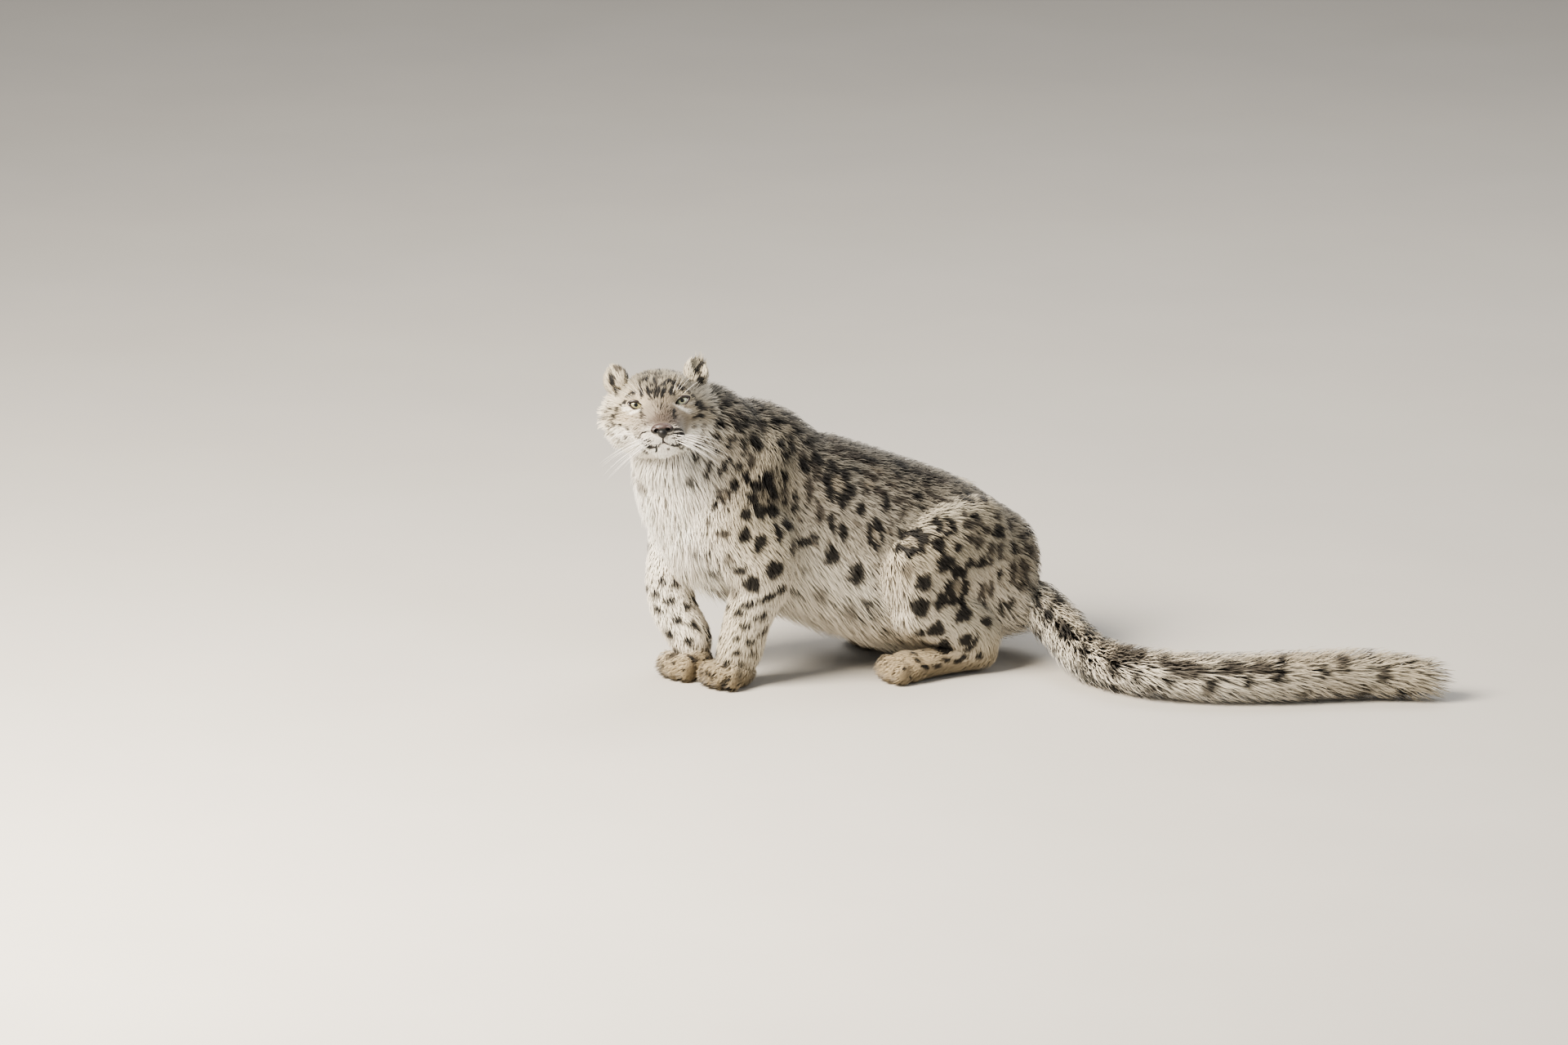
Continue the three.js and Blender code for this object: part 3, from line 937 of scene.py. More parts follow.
def paw_form(paw: Paw) -> Form:
    """A plain form through a paw, which says how its coat lies.

    Args:
        paw: The paw.

    Returns:
        The form.
    """
    length, width, height = paw.size
    line = np.array([[length * 0.55, 0, 0], [0, 0, 0], [-length * 0.8, 0, -2]])
    line = line @ turned_axes(paw.turn) + np.array(paw.at)
    rows = tuple((*point, width, height) for point in line)
    return Form(paw.name, rows, (14, 10), ((0, 5), (1, 5)), PAW_COAT)


PAW_FORMS = tuple(paw_form(paw) for paw in PAWS)
ALL_FORMS = FORMS + PAW_FORMS
HEAD_INDEX = 2
EAR_AT = np.array([-50.0, 68.0, 44.0])
EAR_LIE = np.array([-0.2, 0.35, 1.0])
EAR_REACH = 31.0
NOSE_TOP = (62.0, 0.0, -30.0)
NOSE_TIP = np.array([82.0, 0.0, -45.0])


class Body:
    """Tells which form a point of the skin belongs to, and how the coat lies there."""

    SAMPLES = 40
    BLEND = 9.0
    CHUNK = 20000
    SIZES = ("length", "width", "height", "density", "sag", "clump", "wave")
    EAR_COAT = {
        "length": 9.0,
        "height": 3.2,
        "width": 1.4,
        "density": 20.0,
        "clump": 0.1,
        "sag": 0.0,
    }

    def __init__(self) -> None:
        """Reads every form's sections once."""
        shares = np.linspace(0, 1, self.SAMPLES)
        self.shares = shares
        self.sections = [form.sections(shares) for form in ALL_FORMS]
        self.depths = [form.depth_at(shares) for form in ALL_FORMS]

    def near_form(self, index: int, points: Array) -> tuple[Array, Array, Array, Array]:
        """Where points lie by one form.

        Args:
            index: The form's place in ALL_FORMS.
            points: Positions in the part's frame.

        Returns:
            How far outside the form's skin each point is, its share, its turn and its nearest
            section.
        """
        form, part = ALL_FORMS[index], self.sections[index]
        local = part_to_head(points) if form.in_head else points
        size = np.maximum(part["size"] - self.depths[index][:, None], 6)
        offset = local[:, None, :] - part["centre"][None]
        along = (offset * part["along"][None]).sum(-1)
        first = (offset * part["first"][None]).sum(-1)
        second = (offset * part["second"][None]).sum(-1)
        mean = size.mean(1)
        ratio = (first / size[:, 0]) ** 2 + (second / size[:, 1]) ** 2
        best = np.argmin(ratio + (along / (0.6 * mean)) ** 2, axis=1)
        pick = np.arange(len(points))
        over = np.abs(along[pick, best])
        beyond = np.where(best == 0, form.domes[0], form.domes[1])
        outside = (best == 0) | (best == self.SAMPLES - 1)
        extra = np.where(outside, (over / np.maximum(beyond, 6)) ** 2, 0)
        away = (np.sqrt(ratio[pick, best] + extra) - 1) * mean[best]
        turn = np.arctan2(second[pick, best], first[pick, best])
        return away, self.shares[best], turn, best

    def describe(self, points: Array, normals: Array) -> dict[str, Array]:
        """How the coat grows at points of the skin.

        Args:
            points: Positions in the part's frame.
            normals: The skin's normals there.

        Returns:
            Arrays form, share, turn, lie, length, width, height, density, sag, clump, wave and
            colour.
        """
        count = len(points)
        weights = np.zeros((len(ALL_FORMS), count))
        shares = np.zeros_like(weights)
        turns = np.zeros_like(weights)
        lies = np.zeros((len(ALL_FORMS), count, 3))
        for start in range(0, count, self.CHUNK):
            part = slice(start, start + self.CHUNK)
            for index, form in enumerate(ALL_FORMS):
                away, share, turn, best = self.near_form(index, points[part])
                weights[index, part] = np.exp(-np.maximum(away, 0) / self.BLEND)
                shares[index, part], turns[index, part] = share, turn
                lies[index, part] = self.form_lie(index, points[part], best)
        weights /= np.maximum(weights.sum(0), 1e-12)
        lie = (weights[..., None] * lies).sum(0)
        ear = self.ear_share(points)[:, None]
        side = np.sign(part_to_head(points)[:, 1:2])
        upright = (EAR_LIE * np.hstack([side**0, side, side**0])) @ HEAD_AXES
        lie = lie * (1 - ear) + upright * ear
        lie = unit(lie - normals * dot(lie, normals))
        owner = np.argmax(weights, axis=0)
        pick = np.arange(count)
        share, turn = shares[owner, pick], turns[owner, pick]
        found = {"form": owner, "share": share, "turn": turn, "lie": lie}
        found.update(self.growth(weights, shares, points, normals))
        return found

    @staticmethod
    def ear_share(points: Array) -> Array:
        """How much each point belongs to an ear, from 0 to 1.

        Args:
            points: Positions in the part's frame.

        Returns:
            One number for each point.
        """
        local = part_to_head(points)
        offset = np.stack([local[:, 0], np.abs(local[:, 1]), local[:, 2]], 1) - EAR_AT
        return smoothstep(EAR_REACH + 3, EAR_REACH - 3, np.linalg.norm(offset, axis=1))

    def eased(self, found: dict[str, Array], mesh: Mesh, rounds: int) -> None:
        """Evens out the way the coat grows over the body, so that forms flow into one another.

        Args:
            found: How the coat grows at the mesh's points, changed in place.
            mesh: The skin.
            rounds: Rounds of averaging with the neighbours.
        """
        edges = np.empty(len(mesh.edges) * 2, int)
        mesh.edges.foreach_get("vertices", edges)
        first, second = edges[0::2], edges[1::2]
        count = len(mesh.vertices)
        ends, others = np.concatenate([first, second]), np.concatenate([second, first])
        shared = np.bincount(ends, minlength=count) + 1.0
        free = found["form"] != HEAD_INDEX
        for name in ("lie", "length", "height", "width", "density", "sag", "clump", "colour"):
            values = found[name].reshape(count, -1)
            for _ in range(rounds):
                total = np.stack([np.bincount(ends, column[others], count) for column in values.T], 1)
                mean = (total + values) / shared[:, None]
                values = np.where(free[:, None], mean, values)
            found[name] = values.reshape(found[name].shape)
        found["lie"] = unit(found["lie"])

    def form_lie(self, index: int, points: Array, best: Array) -> Array:
        """The way that one form's coat would lie at points, before it is laid on the skin.

        Args:
            index: The form's place in ALL_FORMS.
            points: Positions in the part's frame.
            best: Each point's nearest section.

        Returns:
            One vector for each point.
        """
        form = ALL_FORMS[index]
        if form.in_head:
            local = part_to_head(points)
            way = unit(local - NOSE_TIP)
            cheek = smoothstep(30, 80, np.abs(local[:, 1])) * smoothstep(20, -30, local[:, 2])
            way[:, 2] -= 0.5 * cheek
            return unit(way @ HEAD_AXES)
        along, down, back = form.coat.lie
        way = self.sections[index]["along"][best] * along
        way = way + np.array([back, 0.0, -down])
        return unit(way)

    def growth(self, weights: Array, shares: Array, points: Array, normals: Array) -> dict[str, Array]:
        """The coat's sizes and ground colour, blended over the forms near each point.

        Args:
            weights: Each form's weight at each point.
            shares: Each form's share at each point.
            points: Positions in the part's frame.
            normals: The skin's normals.

        Returns:
            Arrays by name.
        """
        below = smoothstep(-0.1, -0.7, normals[:, 2])
        above = smoothstep(0.35, 0.85, normals[:, 2])
        thirds = np.stack([above, 1 - below - above, below])
        pale = smoothstep(0.2, -0.42, normals[:, 2])
        tones = np.stack([above, np.clip(1 - pale - above, 0, 1), pale])
        found = {name: np.zeros(len(points)) for name in self.SIZES}
        colour = np.zeros((len(points), 3))
        for index, form in enumerate(ALL_FORMS):
            coat, weight = form.coat, weights[index]
            found["length"] += weight * (np.array(coat.length) @ thirds)
            found["height"] += weight * (np.array(coat.height) @ thirds)
            for name in ("width", "density", "sag", "clump", "wave"):
                found[name] += weight * getattr(coat, name)
            places = [shade.share for shade in coat.shades]
            for third, name in zip(tones, ("above", "beside", "below")):
                rows = np.array([getattr(shade, name) for shade in coat.shades])
                for channel in range(3):
                    value = np.interp(shares[index], places, rows[:, channel])
                    colour[:, channel] += weight * third * value
        bib = smoothstep(0.16, 0.52, -normals[:, 0]) * smoothstep(500, 440, points[:, 2])
        bib = (bib * (weights[0] + weights[1]) * smoothstep(-200, -260, points[:, 0]))[:, None]
        found["colour"] = colour * (1 - bib) + np.array(WHITE) * bib
        self.face(found, points, weights[HEAD_INDEX], np.interp(shares[HEAD_INDEX], *HEAD_RISE))
        self.ears(found, points, normals)
        return found

    @staticmethod
    def face(found: dict[str, Array], points: Array, weight: Array, rise: Array) -> None:
        """Lengthens the coat from the face out to the cheek ruff and the back of the head.

        Args:
            found: The coat's sizes, changed in place.
            points: Positions in the part's frame.
            weight: The head's weight at each point.
            rise: How high the coat stands along the head.
        """
        local = part_to_head(points)
        aside = np.abs(local[:, 1])
        offset = np.stack([local[:, 0] - EYE_FORWARD, aside - EYE_SPREAD, local[:, 2]], 1)
        eye = smoothstep(34, 20, np.linalg.norm(offset, axis=1))
        found["height"] += (rise - 5) * (1 - 0.75 * eye) * weight - 2.2 * eye * weight
        found["length"] += (rise - 5) * 1.3 * (1 - 0.75 * eye) * weight - 4.0 * eye * weight
        cheek = smoothstep(48, 84, aside) * smoothstep(12, -26, local[:, 2])
        cheek = cheek * smoothstep(30, -20, local[:, 0])
        nape = smoothstep(-30, -100, local[:, 0])
        chin = smoothstep(-88, -100, local[:, 2]) * smoothstep(60, 10, local[:, 0])
        muzzle = smoothstep(2, 34, local[:, 0]) * smoothstep(52, 40, aside)
        temple = smoothstep(48, 72, aside) * smoothstep(-38, -10, local[:, 2])
        temple *= smoothstep(44, 26, local[:, 2]) * smoothstep(22, -8, local[:, 0]) * weight
        longer = np.clip(cheek + 0.55 * nape + 0.35 * chin, 0, 1) * weight
        found["length"] += longer * 26 + temple * 12 - muzzle * weight * (found["length"] - 7)
        found["height"] += longer * 5 + temple * 8 - muzzle * weight * (found["height"] - 2.6)
        found["width"] += longer * 0.8 - muzzle * weight * 0.25
        found["density"] -= longer * 9 - muzzle * weight * 5
        found["clump"] += longer * 0.15

        edge = smoothstep(0.5, 0.95, aside / 88) * smoothstep(2, -22, local[:, 0])
        edge = edge * smoothstep(-72, -50, local[:, 0])
        ruff = (0.75 * edge * smoothstep(30, 0, local[:, 2]) * weight)[:, None]
        found["colour"] = found["colour"] * (1 - ruff) + np.array(RUFF_EDGE) * ruff
        near = np.linalg.norm(local - np.array(NOSE_TOP), axis=1)
        smudge = (0.8 * smoothstep(36, 8, near) * weight)[:, None]
        found["colour"] = found["colour"] * (1 - smudge) + np.array(NOSE_SMUDGE) * smudge

    def ears(self, found: dict[str, Array], points: Array, normals: Array) -> None:
        """Shortens and colours the coat of the ears: dark backs, pale edges, and painted shade deep in
        the hollows.

        Args:
            found: The coat's sizes and colour, changed in place.
            points: Positions in the part's frame.
            normals: The skin's normals.
        """
        ear = self.ear_share(points)
        local = part_to_head(points)
        inside = smoothstep(0.1, 0.5, (normals @ HEAD_AXES.T)[:, 0])
        for name, value in self.EAR_COAT.items():
            found[name] = found[name] * (1 - ear) + value * ear
        found["length"] += ear * inside * 9
        aside = np.abs(local) * (0, 1, 1) - EAR_AT * (0, 1, 1)
        deep = smoothstep(30, 12, np.linalg.norm(aside, axis=1))
        tone = np.array(EAR_BACK) * (1 - inside[:, None]) + np.array(EAR_EDGE) * inside[:, None]
        # Painted shade: the pale inside of the ear darkens towards its hollow.
        dark = (inside * deep * 0.4)[:, None]
        tone = tone * (1 - dark) + np.array(EAR_HOLLOW_SHADE) * dark
        found["colour"] = found["colour"] * (1 - ear[:, None]) + tone * ear[:, None]


# The skin under the coat.


@dataclass
class Skin:
    """The one skin under the coat, with the head cut out in fine detail.

    Sizes are in millimetres and turns in degrees. A voxel is the size of the faces of a part.
    """

    body_voxel: float = 6.6
    paw_voxel: float = 3.4
    head_voxel: float = 2.3
    lid_thickness: float = 3.4
    ear_half: tuple[float, float, float] = (13, 22.5, 25)
    ear_hollow: tuple[float, float, float] = (15, 18, 21.5)
    ear_roll: float = -14.0
    ear_pitch: float = -14.0
    ear_yaw: float = 32.0
    ear_voxel: float = 1.5
    slot_radius: float = 1.5
    slot_voxel: float = 0.8
    socket_gap: float = 0.25
    lid_half: float = 13.2
    lid_rise: float = 6.3
    lid_fall: float = 7.0
    lid_tilt: float = 20.0

    def build(self) -> Piece:
        """Fuses the forms and cuts the face.

        Returns:
            The skin.
        """
        shells = [form.shell(form.name, 64, 56, 0) for form in FORMS if form.name != "head"]
        body = remeshed(joined("skin", shells), self.body_voxel, 22)
        paws = joined("paws", [shell for paw in PAWS for shell in paw.shells()])
        paws = remeshed(paws, self.paw_voxel, 3)
        body = combined(body, paws, "UNION")
        body = combined(body, self.head(), "UNION")
        body.name = body.data.name = "skin"
        return body

    def head(self) -> Piece:
        """The head with its ears, sockets, lids and mouth.

        Returns:
            The head's skin.
        """
        form = FORMS[HEAD_INDEX]
        shells = [form.shell("head", 120, 90, 0)]
        for side in (1, -1):
            at = head_to_part([EYE_FORWARD, side * EYE_SPREAD, 0])
            shells.append(ball(at, np.full(3, EYE_RADIUS + self.lid_thickness)))
        head = remeshed(joined("head_skin", shells), self.head_voxel, 4)
        for side in (1, -1):
            head = combined(head, self.ear(side), "UNION")
        for side in (1, -1):
            at = head_to_part([EYE_FORWARD, side * EYE_SPREAD, 0])
            socket = ball(at, np.full(3, EYE_RADIUS + self.socket_gap))
            head = combined(head, socket, "DIFFERENCE")
            head = combined(head, self.lid_opening(side), "DIFFERENCE")
        return combined(head, self.mouth_slot(head), "DIFFERENCE")

    def ear_axes(self, side: int) -> Array:
        """The ear's own directions in the part's frame.

        Args:
            side: 1 for the left ear and -1 for the right.

        Returns:
            Three rows.
        """
        roll = Matrix.Rotation(math.radians(side * self.ear_roll), 3, "X")
        pitch = Matrix.Rotation(math.radians(self.ear_pitch), 3, "Y")
        yaw = Matrix.Rotation(math.radians(side * self.ear_yaw), 3, "Z")
        return np.array((yaw @ pitch @ roll).transposed()) @ HEAD_AXES

    def ear(self, side: int) -> Piece:
        """One ear: a rounded shell, hollow in front.

        Args:
            side: 1 for the left ear and -1 for the right.

        Returns:
            The new object.
        """
        axes = self.ear_axes(side)
        at = head_to_part(EAR_AT * (1, side, 1))
        shell = ball(at, np.array(self.ear_half) - 2.0, axes)
        hollow_at = at + np.array([10, 0, 4]) @ axes
        hollow = ball(hollow_at, np.array(self.ear_hollow) - 1.0, axes)
        return remeshed(combined(shell, hollow, "DIFFERENCE"), self.ear_voxel, 3)

    def almond(self, side: int, count: int = 40) -> Array:
        """The outline of the opening between the lids.

        Args:
            side: 1 for the left eye and -1 for the right.
            count: How many points it has.

        Returns:
            Rows of across and up in the head's frame, from the eye's middle.
        """
        turn = np.linspace(0, 2 * math.pi, count, endpoint=False)
        across = self.lid_half * np.cos(turn)
        share = 1 - (across / self.lid_half) ** 2
        up = np.where(np.sin(turn) > 0, self.lid_rise * share**0.8, -self.lid_fall * share)
        tilt = math.radians(self.lid_tilt * side)
        sine, cosine = math.sin(tilt), math.cos(tilt)
        return np.stack([across * cosine - up * sine, across * sine + up * cosine], 1)

    def lid_opening(self, side: int) -> Piece:
        """A prism through the opening between the lids.

        Args:
            side: 1 for the left eye and -1 for the right.

        Returns:
            The new object.
        """
        bm = bmesh.new()
        outline = self.almond(side)
        verts = []
        for across, up in outline:
            point = head_to_part([4, side * EYE_SPREAD + across, up])
            verts.append(bm.verts.new(to_metres(point)))
        face = bm.faces.new(verts)
        grown = bmesh.ops.extrude_face_region(bm, geom=[face])
        ahead = Vector(HEAD_AXES[0] * 40 * MM)
        moved = [item for item in grown["geom"] if isinstance(item, bmesh.types.BMVert)]
        bmesh.ops.translate(bm, verts=moved, vec=ahead)
        return object_from("opening", bm)

    def mouth_slot(self, head: Piece) -> Piece:
        """The slot between the lips, laid on the face.

        Args:
            head: The head's skin.

        Returns:
            The new object.
        """
        tubes = []
        for path in mouth_paths(head):
            radii = np.full(len(path), self.slot_radius)
            tubes.append(sweep("slot", path, radii, 10))
        return remeshed(joined("slot", tubes), self.slot_voxel, 1)


# Half the line of the mouth, from its middle outwards, and the groove above, in the head's frame.
MOUTH = ((66, 0, -67.5), (64, 8, -70.5), (62, 16, -72.5), (56, 24, -75.5), (46, 28, -78), (34, 30, -80))
PHILTRUM = ((74, 0, -53), (70, 0, -60), (66, 0, -67.5))


def on_face(tree: BVHTree, point: Array, lift: float) -> Array:
    """The point of the face that lies nearest to a place in the head's frame.

    Args:
        tree: The face's surface, in metres.
        point: The place, in millimetres.
        lift: How far out from the surface.

    Returns:
        The point in the part's frame.
    """
    hit, normal, _, _ = tree.find_nearest(Vector(to_metres(head_to_part(point))))
    return to_part(np.array(hit)) + np.array(normal) * lift


def surface_tree(piece: Piece) -> BVHTree:
    """A piece's surface, ready for rays."""
    return BVHTree.FromObject(piece, bpy.context.evaluated_depsgraph_get())


def mouth_paths(head: Piece, lift: float = 0.0) -> list[Array]:
    """The line of the mouth from corner to corner, and the groove above it, laid on the face.

    Args:
        head: The skin.
        lift: How far out from the skin the lines lie.

    Returns:
        The two paths in the part's frame.
    """
    tree = surface_tree(head)
    half = spline(np.array(MOUTH, float), np.linspace(0, 1, 22))
    line = np.vstack([half[:0:-1] * (1, -1, 1), half])
    groove = spline(np.array(PHILTRUM, float), np.linspace(0, 1, 8))
    mouth = np.array([on_face(tree, point, lift) for point in line])
    middle = np.array([on_face(tree, point, lift) for point in groove])
    return [smoothed(mouth), smoothed(middle)]


def smoothed(path: Array) -> Array:
    """A path with small jolts taken out of it.

    Args:
        path: The path's points.

    Returns:
        The same number of points, with the two ends where they were.
    """
    for _ in range(3):
        inner = (path[:-2] + 2 * path[1:-1] + path[2:]) / 4
        path = np.vstack([path[:1], inner, path[-1:]])
    return path


# The marks of the coat.


class Kind(Enum):
    """The kinds of mark in the coat."""

    SPOT = 1
    ROSETTE = 2
    RING = 3
    BROWN = 4
    FAINT = 5
    PALE = 6


# Marks seen in the photo: column, row, width and height in its pixels, tilt in degrees, kind.
# The letters stand for spot, rosette, ring (O), brown, faint and pale.
S, R, O, B, F, P = Kind.SPOT, Kind.ROSETTE, Kind.RING, Kind.BROWN, Kind.FAINT, Kind.PALE
BODY_MARKS = (
    (887, 573, 7, 12, 0, S), (906, 573, 9, 8, 30, S), (913, 585, 10, 9, -20, S),
    (941, 584, 13, 17, 10, S), (899, 595, 12, 17, -10, S), (885, 608, 12, 16, 0, O),
    (937, 610, 32, 36, -30, R), (875, 620, 5, 15, -15, S), (914, 630, 12, 15, 0, S),
    (961, 615, 8, 9, 0, S), (974, 623, 9, 10, 0, S), (966, 642, 12, 14, 20, S),
    (952, 648, 6, 15, 20, S), (913, 656, 16, 17, 10, S), (886, 654, 16, 9, 0, B),
    (932, 666, 14, 23, -25, S), (956, 655, 8, 14, 0, S), (972, 671, 7, 20, 0, B),
    (950, 698, 20, 22, 20, S), (894, 686, 12, 12, 0, F), (907, 699, 16, 8, 10, S),
    (922, 715, 20, 18, 20, S), (897, 726, 10, 14, 0, F), (919, 741, 22, 8, 22, S),
    (944, 732, 22, 8, 25, S), (961, 723, 10, 8, 20, S), (905, 752, 12, 8, 10, S),
    (936, 756, 18, 7, 15, S), (914, 768, 14, 7, 5, S), (940, 774, 12, 6, 20, B),
    (903, 782, 9, 6, 0, S), (922, 788, 16, 6, 10, S), (905, 800, 12, 6, 0, S),
    (926, 802, 8, 6, 0, B), (892, 812, 9, 5, 0, S), (911, 814, 7, 5, 0, B),
    (868, 640, 5, 9, 0, B), (830, 716, 12, 8, -15, S), (812, 712, 10, 9, 0, S),
    (802, 728, 9, 10, 0, S), (822, 736, 14, 9, 10, S), (845, 742, 10, 10, 0, S),
    (806, 748, 12, 8, -20, S), (832, 760, 14, 8, -20, S), (852, 764, 10, 10, 0, S),
    (820, 778, 10, 8, 0, S), (846, 786, 12, 9, 0, S), (830, 798, 10, 6, 0, B),
    (852, 806, 8, 6, 0, B), (785, 598, 9, 14, 0, F), (1027, 592, 30, 44, 10, R),
    (1065, 591, 20, 22, 0, O), (1055, 624, 11, 16, 0, S), (1019, 640, 8, 26, 8, S),
    (1033, 652, 9, 24, 8, S), (1073, 655, 17, 32, 5, R), (1019, 681, 18, 22, 0, S),
    (1050, 703, 19, 25, 0, S), (1008, 726, 16, 16, 0, F), (1045, 743, 16, 18, 0, F),
    (1000, 575, 9, 30, 5, B), (992, 600, 8, 34, 5, B), (1004, 628, 8, 28, 5, B),
    (985, 560, 9, 22, 10, B), (1116, 663, 33, 28, 15, R), (1160, 644, 20, 20, 30, R),
    (1151, 666, 15, 20, 20, S), (1174, 670, 10, 10, 0, S), (1159, 690, 22, 20, 20, S),
    (1190, 690, 10, 11, 0, S), (1112, 699, 14, 18, 0, F), (1133, 714, 18, 19, 0, S),
    (1175, 719, 22, 34, 0, R), (1130, 744, 20, 25, 15, S), (1155, 736, 16, 21, 0, S),
    (1183, 752, 19, 21, 0, S), (1149, 772, 20, 17, 0, S), (1130, 776, 12, 8, 0, S),
    (1186, 784, 15, 13, 0, S), (1158, 791, 21, 9, 0, S), (1208, 724, 18, 24, 0, O),
    (1221, 677, 18, 23, 0, O), (1204, 690, 12, 14, 0, S), (1198, 651, 27, 28, 0, O),
    (1252, 704, 20, 31, 0, O), (1227, 704, 8, 14, 0, S), (1245, 670, 8, 16, 10, S),
    (1270, 678, 14, 20, 0, O), (1226, 651, 16, 16, 0, S), (1207, 607, 12, 12, 0, B),
    (1212, 761, 14, 12, 0, S), (1239, 738, 12, 14, 0, S), (1227, 743, 6, 14, 0, S),
    (1121, 801, 10, 4, -20, S), (1126, 809, 9, 4, -20, S), (1136, 816, 10, 4, -10, S),
    (1153, 817, 9, 5, 0, B), (1163, 807, 10, 5, 0, S), (1178, 811, 9, 5, 0, S),
    (1186, 804, 8, 6, 0, S), (1204, 804, 8, 8, 0, S), (1269, 731, 8, 28, 10, S),
    (1282, 750, 14, 22, 25, S), (1302, 769, 16, 22, 30, S), (1323, 795, 12, 18, 30, S),
    (1302, 720, 12, 12, 20, S), (1337, 769, 12, 12, 20, S), (1379, 795, 50, 26, -15, B),
    (1363, 823, 12, 16, 0, S), (1391, 830, 10, 16, 0, S), (1410, 846, 12, 12, 0, B),
    (1452, 817, 50, 20, -5, B), (1516, 814, 24, 16, 0, B), (1548, 814, 34, 16, 0, B),
    (1430, 835, 12, 12, 0, S), (1485, 838, 14, 12, 0, S), (1530, 838, 14, 10, 0, S),
    (1573, 807, 10, 22, 0, S), (880, 555, 7, 7, 0, S), (893, 565, 7, 8, 10, S),
    (898, 538, 8, 10, -30, S), (893, 546, 6, 9, 0, S), (905, 521, 14, 13, -30, S),
    (898, 511, 8, 8, 0, S), (913, 545, 7, 14, 5, S), (929, 545, 9, 16, 10, S),
    (926, 534, 8, 7, 0, S), (905, 573, 9, 9, 0, S), (913, 584, 9, 15, 10, S),
    (920, 566, 7, 17, 0, B), (903, 480, 9, 6, 0, S), (895, 484, 8, 6, 0, S),
    (893, 493, 9, 7, 0, S), (911, 492, 9, 7, -10, S), (930, 493, 13, 5, -30, S),
    (919, 481, 9, 5, -20, S), (921, 502, 13, 5, 0, S), (903, 506, 10, 7, 0, B),
    (916, 512, 8, 6, 0, S), (932, 521, 8, 13, 0, B), (945, 508, 6, 14, 15, S),
    (952, 516, 8, 12, 10, S), (957, 545, 9, 17, 0, S), (962, 560, 8, 13, 0, S),
    (961, 586, 8, 20, 5, S), (971, 549, 9, 15, 0, S), (969, 534, 8, 9, 0, B),
    (976, 526, 7, 11, 15, S), (985, 568, 12, 14, 20, S), (989, 577, 8, 7, 0, S),
    (993, 540, 11, 6, 30, S), (997, 559, 8, 15, -10, S), (1006, 565, 9, 9, 0, S),
    (961, 602, 8, 9, 0, B), (975, 608, 7, 10, 0, S), (970, 510, 7, 10, 20, B),
    (1048, 553, 20, 9, -15, B), (1066, 561, 16, 9, -15, B), (1029, 545, 12, 7, 0, B),
    (1105, 566, 17, 9, -10, S), (1124, 572, 12, 8, 0, B), (1100, 578, 14, 5, -35, S),
    (1140, 578, 13, 8, 0, B), (1155, 584, 12, 7, 0, B), (1103, 612, 15, 9, 20, B),
    (1085, 614, 9, 25, 5, S), (1126, 605, 13, 7, -20, S), (1150, 608, 34, 6, -10, B),
    (1184, 604, 22, 7, -25, S), (1208, 605, 9, 9, 0, S), (1168, 577, 12, 7, -20, B),
    (1181, 590, 11, 6, -30, B), (1200, 592, 10, 7, -30, B), (1136, 592, 12, 7, -15, B),
    (1076, 574, 12, 7, -20, F), (1020, 533, 12, 6, -20, F), (1106, 628, 5, 40, -40, B),
    (1145, 634, 6, 14, -30, S), (1182, 628, 8, 9, 0, B), (1195, 631, 10, 9, 0, S),
    (1225, 631, 9, 9, 0, B), (1240, 641, 10, 10, 0, B), (1258, 656, 9, 12, 20, B),
    (1270, 655, 7, 9, 20, B), (1090, 652, 6, 12, 0, F), (1094, 592, 10, 8, 0, F),
)
